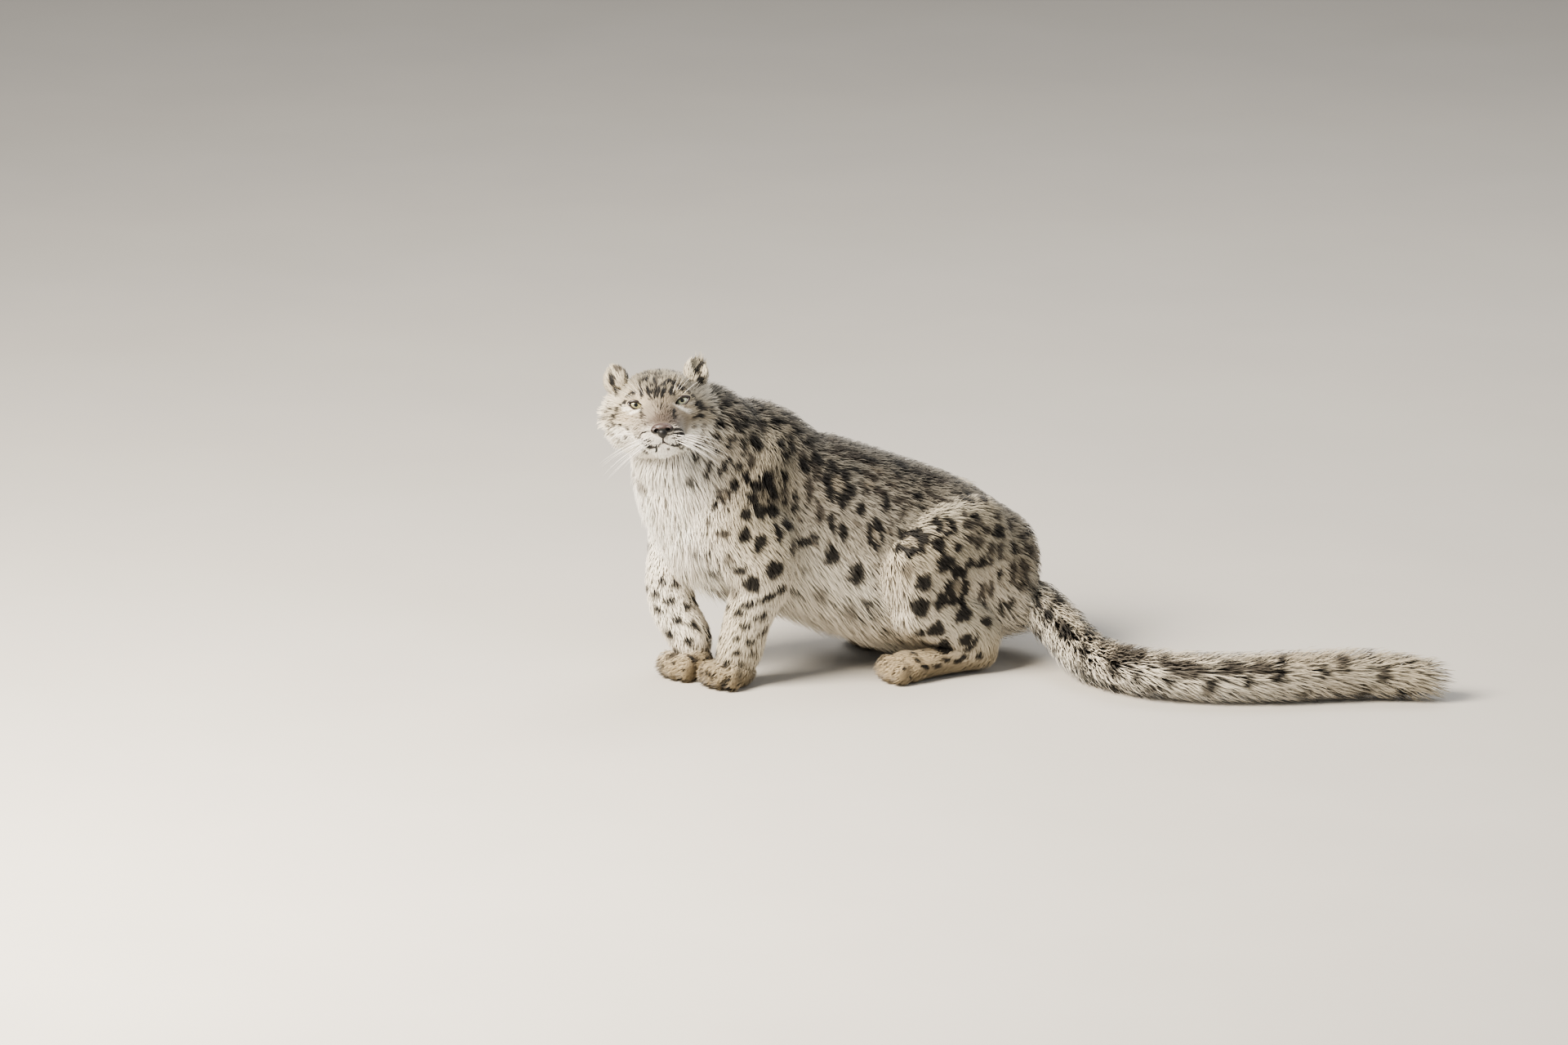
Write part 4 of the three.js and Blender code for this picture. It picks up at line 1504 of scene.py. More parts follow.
HEAD_MARKS = (
    (783, 479, 4, 12, 8, S), (786, 467, 10, 3, 30, S), (791, 463, 3, 8, 0, S),
    (787, 459, 10, 3, 30, S), (784, 451, 8, 4, -20, S), (778, 456, 7, 3, -30, B),
    (794, 482, 4, 9, 12, S), (791, 477, 3, 8, 5, S), (797, 472, 6, 3, 0, S),
    (798, 481, 4, 5, 0, S), (796, 489, 7, 3, 0, B), (802, 468, 3, 14, 0, B),
    (801, 482, 3, 12, 0, S), (805, 480, 3, 14, -5, S), (799, 464, 3, 9, 5, S),
    (801, 457, 3, 8, 0, B), (812, 478, 4, 8, -20, S), (810, 484, 3, 6, 0, S),
    (811, 470, 4, 4, 0, S), (814, 466, 6, 3, 30, S), (819, 466, 8, 3, -12, S),
    (823, 468, 6, 3, -40, S), (822, 478, 4, 11, -12, S), (826, 481, 3, 6, 0, B),
    (808, 460, 6, 3, 20, B), (806, 456, 4, 4, 0, S), (805, 451, 6, 4, 0, S),
    (812, 452, 6, 3, -20, B), (819, 453, 8, 3, -30, S), (796, 456, 6, 4, 30, B),
    (790, 453, 9, 3, 20, S), (797, 451, 7, 3, 0, B), (822, 458, 5, 3, -20, B),
    (815, 460, 5, 3, -10, B), (831, 459, 9, 5, -30, F), (767, 483, 7, 3, 28, S),
    (773, 482, 3, 7, -20, S), (770, 480, 5, 3, 0, S), (763, 485, 4, 3, 20, S),
    (834, 475, 7, 5, -30, S), (841, 477, 9, 3, -28, S), (831, 472, 4, 4, 0, S),
    (757, 496, 4, 4, 0, S), (762, 493, 7, 2.6, 8, S), (753, 504, 3.4, 8, 20, S),
    (751, 512, 4, 6, 20, S), (745, 503, 3.4, 10, 5, B), (745, 513, 4, 4, 0, B),
    (752, 520, 3.4, 4, 0, S), (746, 521, 3.4, 4, 0, B), (760, 522, 4, 3, 0, S),
    (768, 524, 3, 3, 0, B), (769, 527, 3.4, 3, 0, S), (748, 531, 6, 4, 0, F),
    (767, 536, 3, 3, 0, S), (758, 540, 7, 3, -8, F), (757, 546, 7, 4, -10, B),
    (776, 557, 9, 3, 5, B), (850, 486, 6, 3, -15, S), (857, 497, 6, 12, -25, S),
    (862, 501, 6, 4, 0, B), (867, 501, 3.4, 5, 0, S), (858, 510, 7, 4, -10, S),
    (852, 511, 8, 2.6, 28, B), (872, 509, 11, 5, -8, S), (850, 523, 4, 4, 0, F),
    (861, 521, 5, 3, 0, F), (859, 530, 7, 3, 10, F), (861, 537, 9, 4, 18, B),
    (846, 553, 6, 4, 10, B), (864, 547, 6, 4, 0, F), (785, 504, 3, 7, -15, S),
    (786.5, 510, 3, 6, 0, B), (825, 505, 3.4, 10, -15, S), (827, 511, 3, 6, -15, B),
    (790, 520, 2.4, 2.4, 0, S), (786, 532, 10, 2.4, 0, S), (790, 541, 11, 2.4, 0, S),
    (783, 540, 5, 2.2, 0, S), (788, 545.5, 15, 2.4, -3, S), (787, 550, 9, 3, -5, S),
    (791, 554, 6, 3, 8, S), (833, 527, 10, 2.2, 10, S), (835, 532, 12, 2.4, 12, S),
    (831, 536, 13, 2.4, 14, S), (835, 540, 11, 2.4, 10, S), (837, 543.5, 11, 2.6, 10, S),
    (832, 546, 13, 2.4, 5, S), (835, 548, 6, 4, 20, S), (804, 553, 2, 4, 0, S),
    # Of the marks below, (742, 468), (752, 461), (856, 455) and (851, 449) are painted shade in the ear
    # hollows and in a fold of the right ear.
    (819, 552, 3, 2.4, 0, B), (742, 468, 5, 8, 10, F), (752, 461, 13, 2.4, 0, F),
    (856, 455, 5, 11, -10, F), (851, 449, 8, 3, 35, F), (775, 505, 12, 4, 0, P),
    (838, 501, 14, 4, -6, P), (868, 572, 8, 11, -12, S), (852, 566, 6, 13, -32, S),
    (846, 592, 7, 10, -32, S), (887, 574, 7, 11, 0, S), (888, 607, 12, 12, 0, O),
)

BLACK = srgb(18, 16, 15)
DARK_BROWN = srgb(44, 38, 33)
SOFT_BROWN = srgb(92, 84, 73)
ROSETTE_MIDDLE = srgb(126, 117, 102)

# A mark colours whatever lies within this distance before or behind its middle.
DECAL_DEPTH = 45.0
# The mirrored marks are flipped about this y, and land no further off than the last value.
FLIP_Y = -8.0
FLIP_REACH = 70.0
# The ray to a mark starts this far out, and a slanting mark is widened no more than this allows.
RAY_START = 2000
LEAST_FACING = 0.55


@dataclass
class Mark:
    """One mark, laid on the coat.

    At is its middle in the part's frame; across and up are its directions, out the coat's.
    """

    at: Array
    across: Array
    up: Array
    out: Array
    half_wide: float
    half_tall: float
    kind: Kind
    seed: int


class Markings:
    """All the marks of the coat, and the colour that they give each point."""

    TRIES = 16000
    ROOM = 0.9
    LIFT = 12
    ROSETTE_SCALE = 1.05
    BLOT_AWAY = (0.74, 0.86)
    MIDDLE_SIZE = 0.4
    TONES = {
        Kind.SPOT: (BLACK, 0.97),
        Kind.ROSETTE: (ROSETTE_MIDDLE, 0.8),
        Kind.RING: (ROSETTE_MIDDLE, 0.8),
        Kind.BROWN: (DARK_BROWN, 0.88),
        Kind.FAINT: (SOFT_BROWN, 0.75),
        Kind.PALE: (WHITE, 0.6),
    }

    def __init__(self, seed: int = 41) -> None:
        """Lays out the marks that the photo shows and their mirror images.

        Args:
            seed: Starts the random draws.
        """
        self.random = np.random.default_rng(seed)
        self.tree = self.coat_tree()
        self.marks: list[Mark] = []
        self.seen(BODY_MARKS, 1.06, 0.8)
        own = len(self.marks)
        self.seen(HEAD_MARKS, 1.2, 0.4)
        self.mirror(own)

    @staticmethod
    def coat_tree() -> BVHTree:
        """The outside of the coat as plain forms, ready for rays.

        Returns:
            The surface, in millimetres.
        """
        points, faces = [], []
        shells = [form.shell("outside", 40, 36, 1) for form in FORMS]
        shells += [shell for paw in PAWS for shell in paw.shells()]
        for piece in shells:
            place, _, corners = read_mesh(piece.data)
            faces.extend((corners + len(points)).tolist())
            points.extend(place.tolist())
            bpy.data.objects.remove(piece)
        return BVHTree.FromPolygons([Vector(point) for point in points], faces)

    def seen(self, rows: tuple, scale: float, spread: float) -> None:
        """Adds marks that the photo shows, each where the line of sight meets the coat.

        Args:
            rows: The marks as they are in the picture.
            scale: Makes all of them larger or smaller.
            spread: Added to their half sizes, in millimetres.
        """
        for column, row, wide, tall, tilt, kind in rows:
            right = (column - ORIGIN_COLUMN) * MM_PER_PIXEL
            up = (ORIGIN_ROW - row + (column - LEVEL_COLUMN) * VIEW_ROLL) * MM_PER_PIXEL
            start = RIGHT * right + UP * up + BACK * RAY_START
            hit, normal, _, _ = self.tree.ray_cast(Vector(start), Vector(-BACK))
            if hit is None:
                continue
            out = unit(np.array(normal))
            across = unit(RIGHT - out * (RIGHT @ out))
            above = unit(np.cross(out, across))
            if above @ UP < 0:
                above = -above
            turn = math.radians(tilt)
            first = across * math.cos(turn) + above * math.sin(turn)
            second = above * math.cos(turn) - across * math.sin(turn)
            larger = self.ROSETTE_SCALE if kind in (Kind.ROSETTE, Kind.RING) else 1.0
            half = [0.5 * MM_PER_PIXEL * scale * larger * size + spread for size in (wide, tall)]
            half[0] /= max(abs(across @ RIGHT), LEAST_FACING)
            half[1] /= max(abs(above @ UP), LEAST_FACING)
            self.add(np.array(hit), first, second, out, half, kind)

    def add(
        self,
        at: Array,
        across: Array,
        up: Array,
        out: Array,
        half: tuple[float, float] | list[float],
        kind: Kind,
    ) -> None:
        """Adds one mark, numbered after the ones before it.

        Args:
            at: Its middle.
            across: Its direction across.
            up: Its direction up.
            out: The way out of the coat.
            half: Its half width and half height.
            kind: Its kind.
        """
        self.marks.append(Mark(at, across, up, out, *half, kind, len(self.marks)))

    def mirror(self, count: int) -> None:
        """Gives the far side of the trunk and the far legs marks like the near ones.

        Args:
            count: How many marks of the near side to mirror.
        """
        flip = np.array([1, -1, 1])
        for mark in self.marks[:count]:
            foreleg = mark.at[0] < -150 and mark.at[2] < 250
            if mark.at[0] > 250 or foreleg or mark.kind is Kind.PALE:
                continue
            jitter = self.random.normal(0, 7, 3)
            back = 0 if mark.at[0] < -120 else RIGHT_THIGH_BACK
            target = mark.at * flip + (back, 2 * FLIP_Y, 0) + jitter
            hit, normal, _, _ = self.tree.find_nearest(Vector(target))
            out = unit(np.array(normal))
            if np.linalg.norm(np.array(hit) - target) > FLIP_REACH:
                continue
            first = unit(mark.across * flip - out * ((mark.across * flip) @ out))
            second = np.cross(out, first)
            size = self.random.uniform(0.85, 1.12)
            half = (mark.half_wide * size, mark.half_tall * size)
            self.add(np.array(hit), first, second, out, half, mark.kind)

    def fill(self, points: Array, normals: Array, found: dict[str, Array]) -> None:
        """Adds random marks where none lie yet, sized for each part of the body.

        Args:
            points: Points of the skin in the part's frame.
            normals: The skin's normals.
            found: How the coat grows there.
        """
        names = [form.name for form in ALL_FORMS]
        order = self.random.permutation(len(points))[: self.TRIES]
        middles = np.array([mark.at for mark in self.marks])
        sizes = np.array([max(mark.half_wide, mark.half_tall) for mark in self.marks])
        for index in order:
            point, out, lie = points[index], normals[index], found["lie"][index]
            name = names[found["form"][index]]
            share = found["share"][index]
            style = self.style(name, share, point, out)
            if style is None:
                continue
            wide, tall, kind, room = style
            reach = np.linalg.norm(middles - point, axis=1)
            if (reach < sizes * self.ROOM + room).any():
                continue
            size = self.random.uniform(0.75, 1.2)
            at = point + out * self.LIFT
            self.add(at, np.cross(lie, out), lie, out, (wide * size, tall * size), kind)
            middles = np.vstack([middles, at])
            sizes = np.append(sizes, max(wide, tall) * size)

    def style(self, name: str, share: float, point: Array, out: Array) -> tuple | None:
        """What random marks look like at one place.

        Args:
            name: The form there.
            share: The share of its line.
            point: The place in the part's frame.
            out: The skin's normal.

        Returns:
            Half width, half length, kind and room to the next mark, or None for no marks.
        """
        pick = self.random.random()
        facing = out @ BACK
        if name == "head":
            local = part_to_head(point[None])[0]
            if local[0] > -34 or local[2] < -60 or abs(local[1]) > 45 and local[2] > 30:
                return None
            return 5.0, 7.0, Kind.SPOT, 15.0
        if name == "neck":
            if out[2] < -0.15 or out[0] < -0.3:
                return None
            if facing > 0.25 and out[2] < 0.35:
                return (5, 8, Kind.SPOT, 15.0) if pick < 0.6 else None
            return 6, 10, Kind.SPOT if pick < 0.7 else Kind.BROWN, 15.0
        if name == "torso":
            if out[2] > 0.5:
                return (5.0, 10.0, Kind.BROWN if pick < 0.5 else Kind.SPOT, 12.0)
            if out[2] < -0.25 or out[0] < -0.35 and share < 0.25:
                return None
            if facing > 0.15:
                return (4.0, 7.0, Kind.FAINT, 17.0) if pick < 0.6 else None
            return (14, 19, Kind.ROSETTE if pick < 0.6 else Kind.SPOT, 20.0)
        if name == "tail":
            return (15, 11, Kind.SPOT if pick < 0.5 else Kind.BROWN, 18.0)
        if name.startswith("thigh"):
            return (10, 13, Kind.SPOT if pick < 0.6 else Kind.RING, 20.0) if facing < 0.3 else None
        if name.startswith(("forepaw", "hindpaw", "foot")):
            return (3.5, 5.0, Kind.SPOT, 17.0) if out[2] > 0.1 else None
        if facing > 0.25:
            return None
        return (9, 8, Kind.SPOT, 20.0)

    def colour(self, points: Array, ground: Array) -> Array:
        """Lays the marks over the coat's ground colour.

        Args:
            points: Positions in the part's frame.
            ground: The ground colour at each.

        Returns:
            The colour at each.
        """
        made = ground.copy()
        blur = 0.11 * noise(points, 7.0, 3) + 0.07 * noise(points, 2.4, 4)
        order = np.argsort(points[:, 0])
        ranked = points[order, 0]
        for mark in [part for whole in self.marks for part in self.parts(whole)]:
            reach = 1.5 * max(mark.half_wide, mark.half_tall) + 3
            deep = max(reach, DECAL_DEPTH)
            first, last = np.searchsorted(ranked, (mark.at[0] - deep, mark.at[0] + deep))
            close = order[first:last]
            offset = points[close] - mark.at
            flat = np.abs(offset @ mark.across) < reach
            flat &= np.abs(offset @ mark.up) < reach
            flat &= np.abs(offset @ mark.out) < DECAL_DEPTH
            close = close[flat]
            if not len(close):
                continue
            offset = points[close] - mark.at
            across = offset @ mark.across / mark.half_wide
            up = offset @ mark.up / mark.half_tall
            radius = np.hypot(across, up)
            angle = np.arctan2(up, across)
            rough = 0.10 * np.sin(3 * angle + mark.seed) + 0.07 * np.sin(5 * angle + 2.3 * mark.seed)
            radius = radius * (1 + rough) + blur[close]
            tone, most = self.TONES[mark.kind]
            soft = 0.45 if mark.kind is Kind.PALE else 0.15
            part = (smoothstep(1 + soft, 1 - soft, radius) * most)[:, None]
            made[close] = made[close] * (1 - part) + np.array(tone) * part
        return made

    @staticmethod
    def parts(mark: Mark) -> list[Mark]:
        """The plain marks that one mark is made of.

        Args:
            mark: The whole mark.

        Returns:
            The dark blots round a rosette or a ring and then its paler middle, or the mark
            itself for the other kinds.
        """
        if mark.kind not in (Kind.ROSETTE, Kind.RING):
            return [mark]
        rosette = mark.kind is Kind.ROSETTE
        count, blot = (6, Kind.SPOT) if rosette else (5, Kind.BROWN)
        made = []
        for number in range(count):
            draw = np.random.default_rng(100 * mark.seed + number)
            angle = 2 * math.pi * (number + draw.uniform(-0.22, 0.22)) / count + mark.seed
            away = draw.uniform(*Markings.BLOT_AWAY)
            at = mark.at + mark.across * (mark.half_wide * away * math.cos(angle))
            at = at + mark.up * (mark.half_tall * away * math.sin(angle))
            size = (0.44 if rosette else 0.42) * draw.uniform(0.85, 1.15)
            made.append(Markings.scaled(mark, size, at=at, kind=blot, seed=100 * mark.seed + number))
        made.append(Markings.scaled(mark, Markings.MIDDLE_SIZE))
        return made

    @staticmethod
    def scaled(mark: Mark, size: float, **other: Array | Kind | int) -> Mark:
        """A copy of a mark at another size, with some of its other fields changed."""
        wide, tall = mark.half_wide * size, mark.half_tall * size
        return replace(mark, half_wide=wide, half_tall=tall, **other)


# The coat of tufts.


@dataclass(frozen=True)
class Patch:
    """Which stretches of forms one coat piece covers: form, first and last share."""

    name: str
    parts: tuple[tuple[str, float, float], ...]


# A little past both ends of a form, so that no tuft is left out, and where patches meet.
START, END = -0.01, 1.01
FACE_START = 0.56
CHEST_END, SIDE_END = 0.43, 0.66
TAIL_MIDDLE = 0.5
LEG_FORMS = {
    "foreleg": ("shoulder", "forearm", "forepaw"),
    "thigh": ("thigh",),
    "hind_foot": ("shank", "foot", "hindpaw"),
}


def leg_patches() -> tuple[Patch, ...]:
    """The patches of the legs, each on the left and then on the right.

    Returns:
        The patches.
    """
    return tuple(
        Patch(f"coat_{leg}_{side}", tuple((f"{form}_{side}", START, END) for form in forms))
        for leg, forms in LEG_FORMS.items()
        for side in ("left", "right")
    )


PATCHES = (
    Patch("coat_face", (("head", FACE_START, END),)),
    Patch("coat_crown", (("head", START, FACE_START),)),
    Patch("coat_neck", (("neck", START, END),)),
    Patch("coat_chest", (("torso", START, CHEST_END),)),
    Patch("coat_side", (("torso", CHEST_END, SIDE_END),)),
    Patch("coat_rump", (("torso", SIDE_END, END),)),
    *leg_patches(),
    Patch("coat_tail", (("tail", START, TAIL_MIDDLE),)),
    Patch("coat_tail_end", (("tail", TAIL_MIDDLE, END),)),
)


class Tufts:
    """Grows the coat: thin tapered tufts, rooted in the skin and bent along its lie.

    Tufts of LONG millimetres or more have a ring more than the short ones. PROFILE and
    UNDERFUR_AND_ROOT_SHADE give a ring's share of the tuft's width and of its brightness;
    UNDERFUR_AND_ROOT_SHADE's darker roots stand partly for the grey underfur and partly for painted
    shade where the coat shadows its own roots. No tuft grows within LIP_BARE of the lips, in the oval
    LID_BARE before an eye, or in the oval NOSE_BARE: half width, half height, the height of its middle,
    and how far forward it begins.
    """

    LONG = 21.0
    LONG_RINGS = (0, 0.36, 0.72)
    SHORT_RINGS = (0, 0.5)
    PROFILE = {0: 0.75, 0.36: 1.0, 0.5: 1.0, 0.72: 0.72}
    # Darker towards the root: partly the grey underfur, partly painted shade where the tufts shadow
    # their roots.
    UNDERFUR_AND_ROOT_SHADE = {0: 0.92, 0.36: 0.98, 0.5: 1.0, 0.72: 1.0}
    TIP_BRIGHTER = 1.04
    ROOT_DEPTH = 2.5
    THICKNESS = 0.75
    FLOOR = 1.2
    STRAYS = 0.03
    STRAY_RISE = 1.12
    CLUMP_SIZE = 17.0
    LIP_BARE = 2.6
    LID_BARE = (16, 9.6)
    EYE_GAP = 1.2
    NOSE_BARE = (19, 12.5, -46, 55)
    DARKEST, PALEST = 0.004, 0.95
    UV_SIZE = 0.003
    UV_EDGE = 0.004

    def __init__(
        self, skin: Piece, found: dict[str, Array], markings: Markings, seed: int = 7
    ) -> None:
        """Scatters the roots over the skin and takes out those on bare parts.

        Args:
            skin: The skin.
            found: How the coat grows at the skin's points.
            markings: Gives each tuft its colour.
            seed: Starts the random draws.
        """
        self.random = np.random.default_rng(seed)
        self.markings = markings
        points, normals, corners = read_mesh(skin.data)
        self.roots, self.out, self.found = self.scatter(points, normals, corners, found)
        self.keep_outside_face()

    def scatter(
        self, points: Array, normals: Array, corners: Array, found: dict[str, Array]
    ) -> tuple[Array, Array, dict[str, Array]]:
        """Places roots evenly over the skin, closer together where the coat is denser.

        Args:
            points: The skin's points in the part's frame.
            normals: Its normals.
            corners: The three points of each triangle.
            found: How the coat grows at the skin's points.

        Returns:
            The roots, the skin's normals there and how the coat grows there.
        """
        a, b, c = (points[corners[:, index]] for index in range(3))
        # The triangles' areas, in square centimetres.
        area = np.linalg.norm(np.cross(b - a, c - a), axis=1) / 200
        total = np.cumsum(area * found["density"][corners].mean(1))
        wanted = np.arange(0.5, total[-1])
        wanted += self.random.uniform(-0.5, 0.5, len(wanted))
        face = np.minimum(np.searchsorted(total, wanted), len(total) - 1)
        second, third = self.random.random((2, len(face)))
        flip = second + third > 1
        second, third = np.where(flip, 1 - second, second), np.where(flip, 1 - third, third)
        share = np.stack([1 - second - third, second, third], 1)
        tri = corners[face]
        nearest = tri[np.arange(len(tri)), np.argmax(share, axis=1)]
        same = (found["form"][tri] == found["form"][nearest][:, None]).all(1)

        def blended(values: Array) -> Array:
            """A value of the skin's points, read at the roots."""
            weight = share if values.ndim == 1 else share[..., None]
            return (values[tri] * weight).sum(1)

        names = [name for name in found if name not in ("form", "share", "turn")]
        grown = {name: blended(found[name]) for name in names}
        grown["lie"] = unit(grown["lie"])
        grown["form"] = found["form"][nearest]
        grown["share"] = np.where(same, blended(found["share"]), found["share"][nearest])
        turned = np.arctan2(blended(np.sin(found["turn"])), blended(np.cos(found["turn"])))
        grown["turn"] = np.where(same, turned, found["turn"][nearest])
        return blended(points), unit(blended(normals)), grown

    def keep_outside_face(self) -> None:
        """Takes out roots at the floor, over and in the sockets, on the lips and the nose."""
        local = part_to_head(self.roots)
        keep = self.roots[:, 2] > self.FLOOR
        for side in (1, -1):
            offset = local - (EYE_FORWARD, side * EYE_SPREAD, 0)
            tilt = math.radians(Skin.lid_tilt * side)
            across = offset[:, 1] * math.cos(tilt) + offset[:, 2] * math.sin(tilt)
            up = offset[:, 2] * math.cos(tilt) - offset[:, 1] * math.sin(tilt)
            opening = (across / self.LID_BARE[0]) ** 2 + (up / self.LID_BARE[1]) ** 2 < 1
            keep &= ~(opening & (offset[:, 0] > 0) & (offset[:, 0] < 40))
            keep &= np.linalg.norm(offset, axis=1) > EYE_RADIUS + self.EYE_GAP
        self.bare_lips(local, keep)
        wide, tall, rise, front = self.NOSE_BARE
        nose = (local[:, 1] / wide) ** 2 + ((local[:, 2] - rise) / tall) ** 2 < 1
        keep &= ~(nose & (local[:, 0] > front))
        self.roots, self.out = self.roots[keep], self.out[keep]
        self.found = {name: values[keep] for name, values in self.found.items()}

    @staticmethod
    def bare_lips(local: Array, keep: Array) -> None:
        """Takes out roots on and just above the line of the mouth.

        Args:
            local: The roots in the head's frame.
            keep: Which roots stay, changed in place.
        """
        flat = local * (1, 0, 1) + np.abs(local) * (0, 1, 0)
        for rows, count in ((MOUTH, 24), (PHILTRUM, 10)):
            for point in spline(np.array(rows, float), np.linspace(0, 1, count)):
                keep &= np.linalg.norm(flat - point, axis=1) > Tufts.LIP_BARE

    def clumps(self, size: float, seed: int) -> tuple[Array, Array]:
        """The nearest clump's middle for each root, and a number of its own.

        Args:
            size: How far apart the clumps are.
            seed: Picks the pattern.

        Returns:
            The middles and the numbers.
        """
        cells = np.floor(self.roots / size)
        best = np.full(len(self.roots), np.inf)
        middle = np.zeros_like(self.roots)
        number = np.zeros(len(self.roots))
        for step in np.ndindex(3, 3, 3):
            cell = cells + np.array(step) - 1
            jitter = np.stack([hashed(cell, seed + axis) for axis in range(3)], 1)
            feature = (cell + jitter) * size
            distance = ((feature - self.roots) ** 2).sum(1)
            closer = distance < best
            best = np.where(closer, distance, best)
            middle[closer] = feature[closer]
            number[closer] = hashed(cell, seed + 9)[closer]
        return middle, number

    def grow(self) -> None:
        """Bends every tuft and gives it its colour."""
        found, out = self.found, self.out
        count = len(self.roots)
        draw = self.random
        lie = found["lie"]
        side = np.cross(lie, out)
        swirl = 0.16 * noise(self.roots, 90, 5) + 0.06 * noise(self.roots, 26, 6)
        swirl = swirl + draw.normal(0, 0.13, count)
        lie = unit(lie + side * swirl[:, None])
        side = np.cross(lie, out)
        length = found["length"] * draw.uniform(0.72, 1.2, count)
        height = found["height"] * draw.uniform(0.62, 1.1, count)
        stray = draw.random(count) < self.STRAYS
        height = np.where(stray, height * self.STRAY_RISE, height)
        middle, number = self.clumps(self.CLUMP_SIZE, 21)
        toward = middle - self.roots
        toward -= out * dot(toward, out)
        toward -= lie * dot(toward, lie) * 0.6
        pull = found["clump"][:, None] * smoothstep(12, 40, found["length"])[:, None]
        wave = found["wave"] * length
        phase = number * 2 * math.pi

        def bend(share: float) -> Array:
            """Each tuft's middle line at a share of its length.

            Args:
                share: The share, 0 at the root and 1 at the tip.

            Returns:
                One point for each tuft.
            """
            rise = math.sin(share * math.pi / 2)
            run = share * (1 - 0.12 * (1 - share))
            point = self.roots + lie * (length * run)[:, None] + out * (height * rise)[:, None]
            point = point + toward * pull * share**1.4
            point = point + side * (wave * np.sin(phase + 4.2 * share))[:, None] * share
            point[:, 2] -= found["sag"] * length * share**2
            return point

        self.bend, self.side, self.lie = bend, side, lie
        tint = 1 + 0.07 * noise(self.roots, 34, 8) + 0.04 * (number - 0.5)
        tint = tint + draw.normal(0, 0.06, count)
        warm = 0.02 * noise(self.roots, 60, 9)
        tints = tint[:, None] * np.stack([1 + warm, np.ones(count), 1 - warm], 1)
        long = found["length"] >= self.LONG
        needed = {1.0: np.ones(count, bool)}
        needed.update({share: long for share in self.LONG_RINGS[1:]})
        needed.update({share: ~long for share in self.SHORT_RINGS[1:]})
        self.shown = {}
        for share, chosen in needed.items():
            colour = np.zeros((count, 3))
            colour[chosen] = self.markings.colour(bend(share)[chosen], found["colour"][chosen])
            self.shown[share] = np.clip(colour * tints, self.DARKEST, self.PALEST)

    def pieces(self) -> list[Piece]:
        """Builds the coat's pieces.

        Returns:
            One object for each patch of the coat.
        """
        names = [form.name for form in ALL_FORMS]
        made = []
        for patch in PATCHES:
            chosen, place = [], []
            for band, (name, low, high) in enumerate(patch.parts):
                within = (self.found["share"] > low) & (self.found["share"] <= high)
                picked = np.nonzero(within & (self.found["form"] == names.index(name)))[0]
                across = (self.found["share"][picked] - low) / (high - low)
                around = self.found["turn"][picked] / (2 * math.pi) + 0.5
                chosen.append(picked)
                place.append(np.stack([across, (band + around) / len(patch.parts)], 1))
            chosen, place = np.concatenate(chosen), np.concatenate(place)
            long = self.found["length"][chosen] >= self.LONG
            groups = [(long, self.LONG_RINGS), (~long, self.SHORT_RINGS)]
            parts = [
                self.group(chosen[those], place[those], rings) for those, rings in groups if those.any()
            ]
            made.append(self.build(patch.name, parts))
        return made

    def build(self, name: str, parts: list[dict[str, Array]]) -> Piece:
        """Builds one piece of the coat.

        Args:
            name: The piece's name.
            parts: The arrays of each group of tufts.

        Returns:
            The new object.
        """
        base = 0
        for part in parts:
            part["corners"] = part["corners"] + base
            base += len(part["points"])
        joint = {key: np.concatenate([part[key] for part in parts]) for key in parts[0]}
        return self.mesh(name, **joint)

    def group(self, chosen: Array, place: Array, rings: tuple) -> dict[str, Array]:
        """The points and faces of tufts that have the same number of rings.

        Args:
            chosen: Which tufts.
            place: Their places on the flat map.
            rings: The share of each ring along a tuft.

        Returns:
            Arrays points, normals, colours, corners, sizes and places.
        """
        count = len(chosen)
        out, side = self.out[chosen], self.side[chosen]
        width = self.found["width"][chosen] * self.random.uniform(0.75, 1.2, count)
        layers, shades, leans = [], [], []
        for share in rings:
            middle = self.bend(share)[chosen]
            if share == 0:
                middle = middle - out * self.ROOT_DEPTH
            half = (width * self.PROFILE[share] / 2)[:, None]
            thick = half * self.THICKNESS
            layers += [middle - side * half, middle + side * half, middle + out * thick]
            shades += [self.shown[share or rings[1]][chosen] * self.UNDERFUR_AND_ROOT_SHADE[share]] * 3
            leans += [out - 0.25 * side, out + 0.25 * side, out + 0.12 * self.lie[chosen]]
        layers.append(self.bend(1.0)[chosen])
        shades.append(self.shown[1.0][chosen] * self.TIP_BRIGHTER)
        leans.append(out + 0.1 * self.lie[chosen])
        points = np.stack(layers, 1)
        points[..., 2] = np.maximum(points[..., 2], self.FLOOR)
        each = points.shape[1]
        quads, triangles = [], [(0, 1, 2)]
        last = len(rings) - 1
        for ring in range(last):
            low, high = 3 * ring, 3 * ring + 3
            for first, second in ((1, 0), (2, 1), (0, 2)):
                quads.append((low + first, low + second, high + second, high + first))
        for first, second in ((1, 0), (2, 1), (0, 2)):
            triangles.append((3 * last + first, 3 * last + second, 3 * last + 3))
        template = [corner for face in quads + triangles for corner in face]
        sizes = [4] * len(quads) + [3] * len(triangles)
        start = (np.arange(count) * each)[:, None]
        corners = start + np.array(template)
        tip = 3 * (last + 1)
        ring_of = np.array([min(corner // 3, last + 1) for corner in template]) / (last + 1)
        side_of = np.array([(corner % 3) - 1 if corner < tip else 0 for corner in template])
        spot = self.UV_EDGE + place[:, None, :] * (1 - 2 * self.UV_EDGE)
        places = np.repeat(spot, len(template), 1)
        places[..., 0] += (ring_of - 0.5) * self.UV_SIZE
        places[..., 1] += side_of * 0.5 * self.UV_SIZE
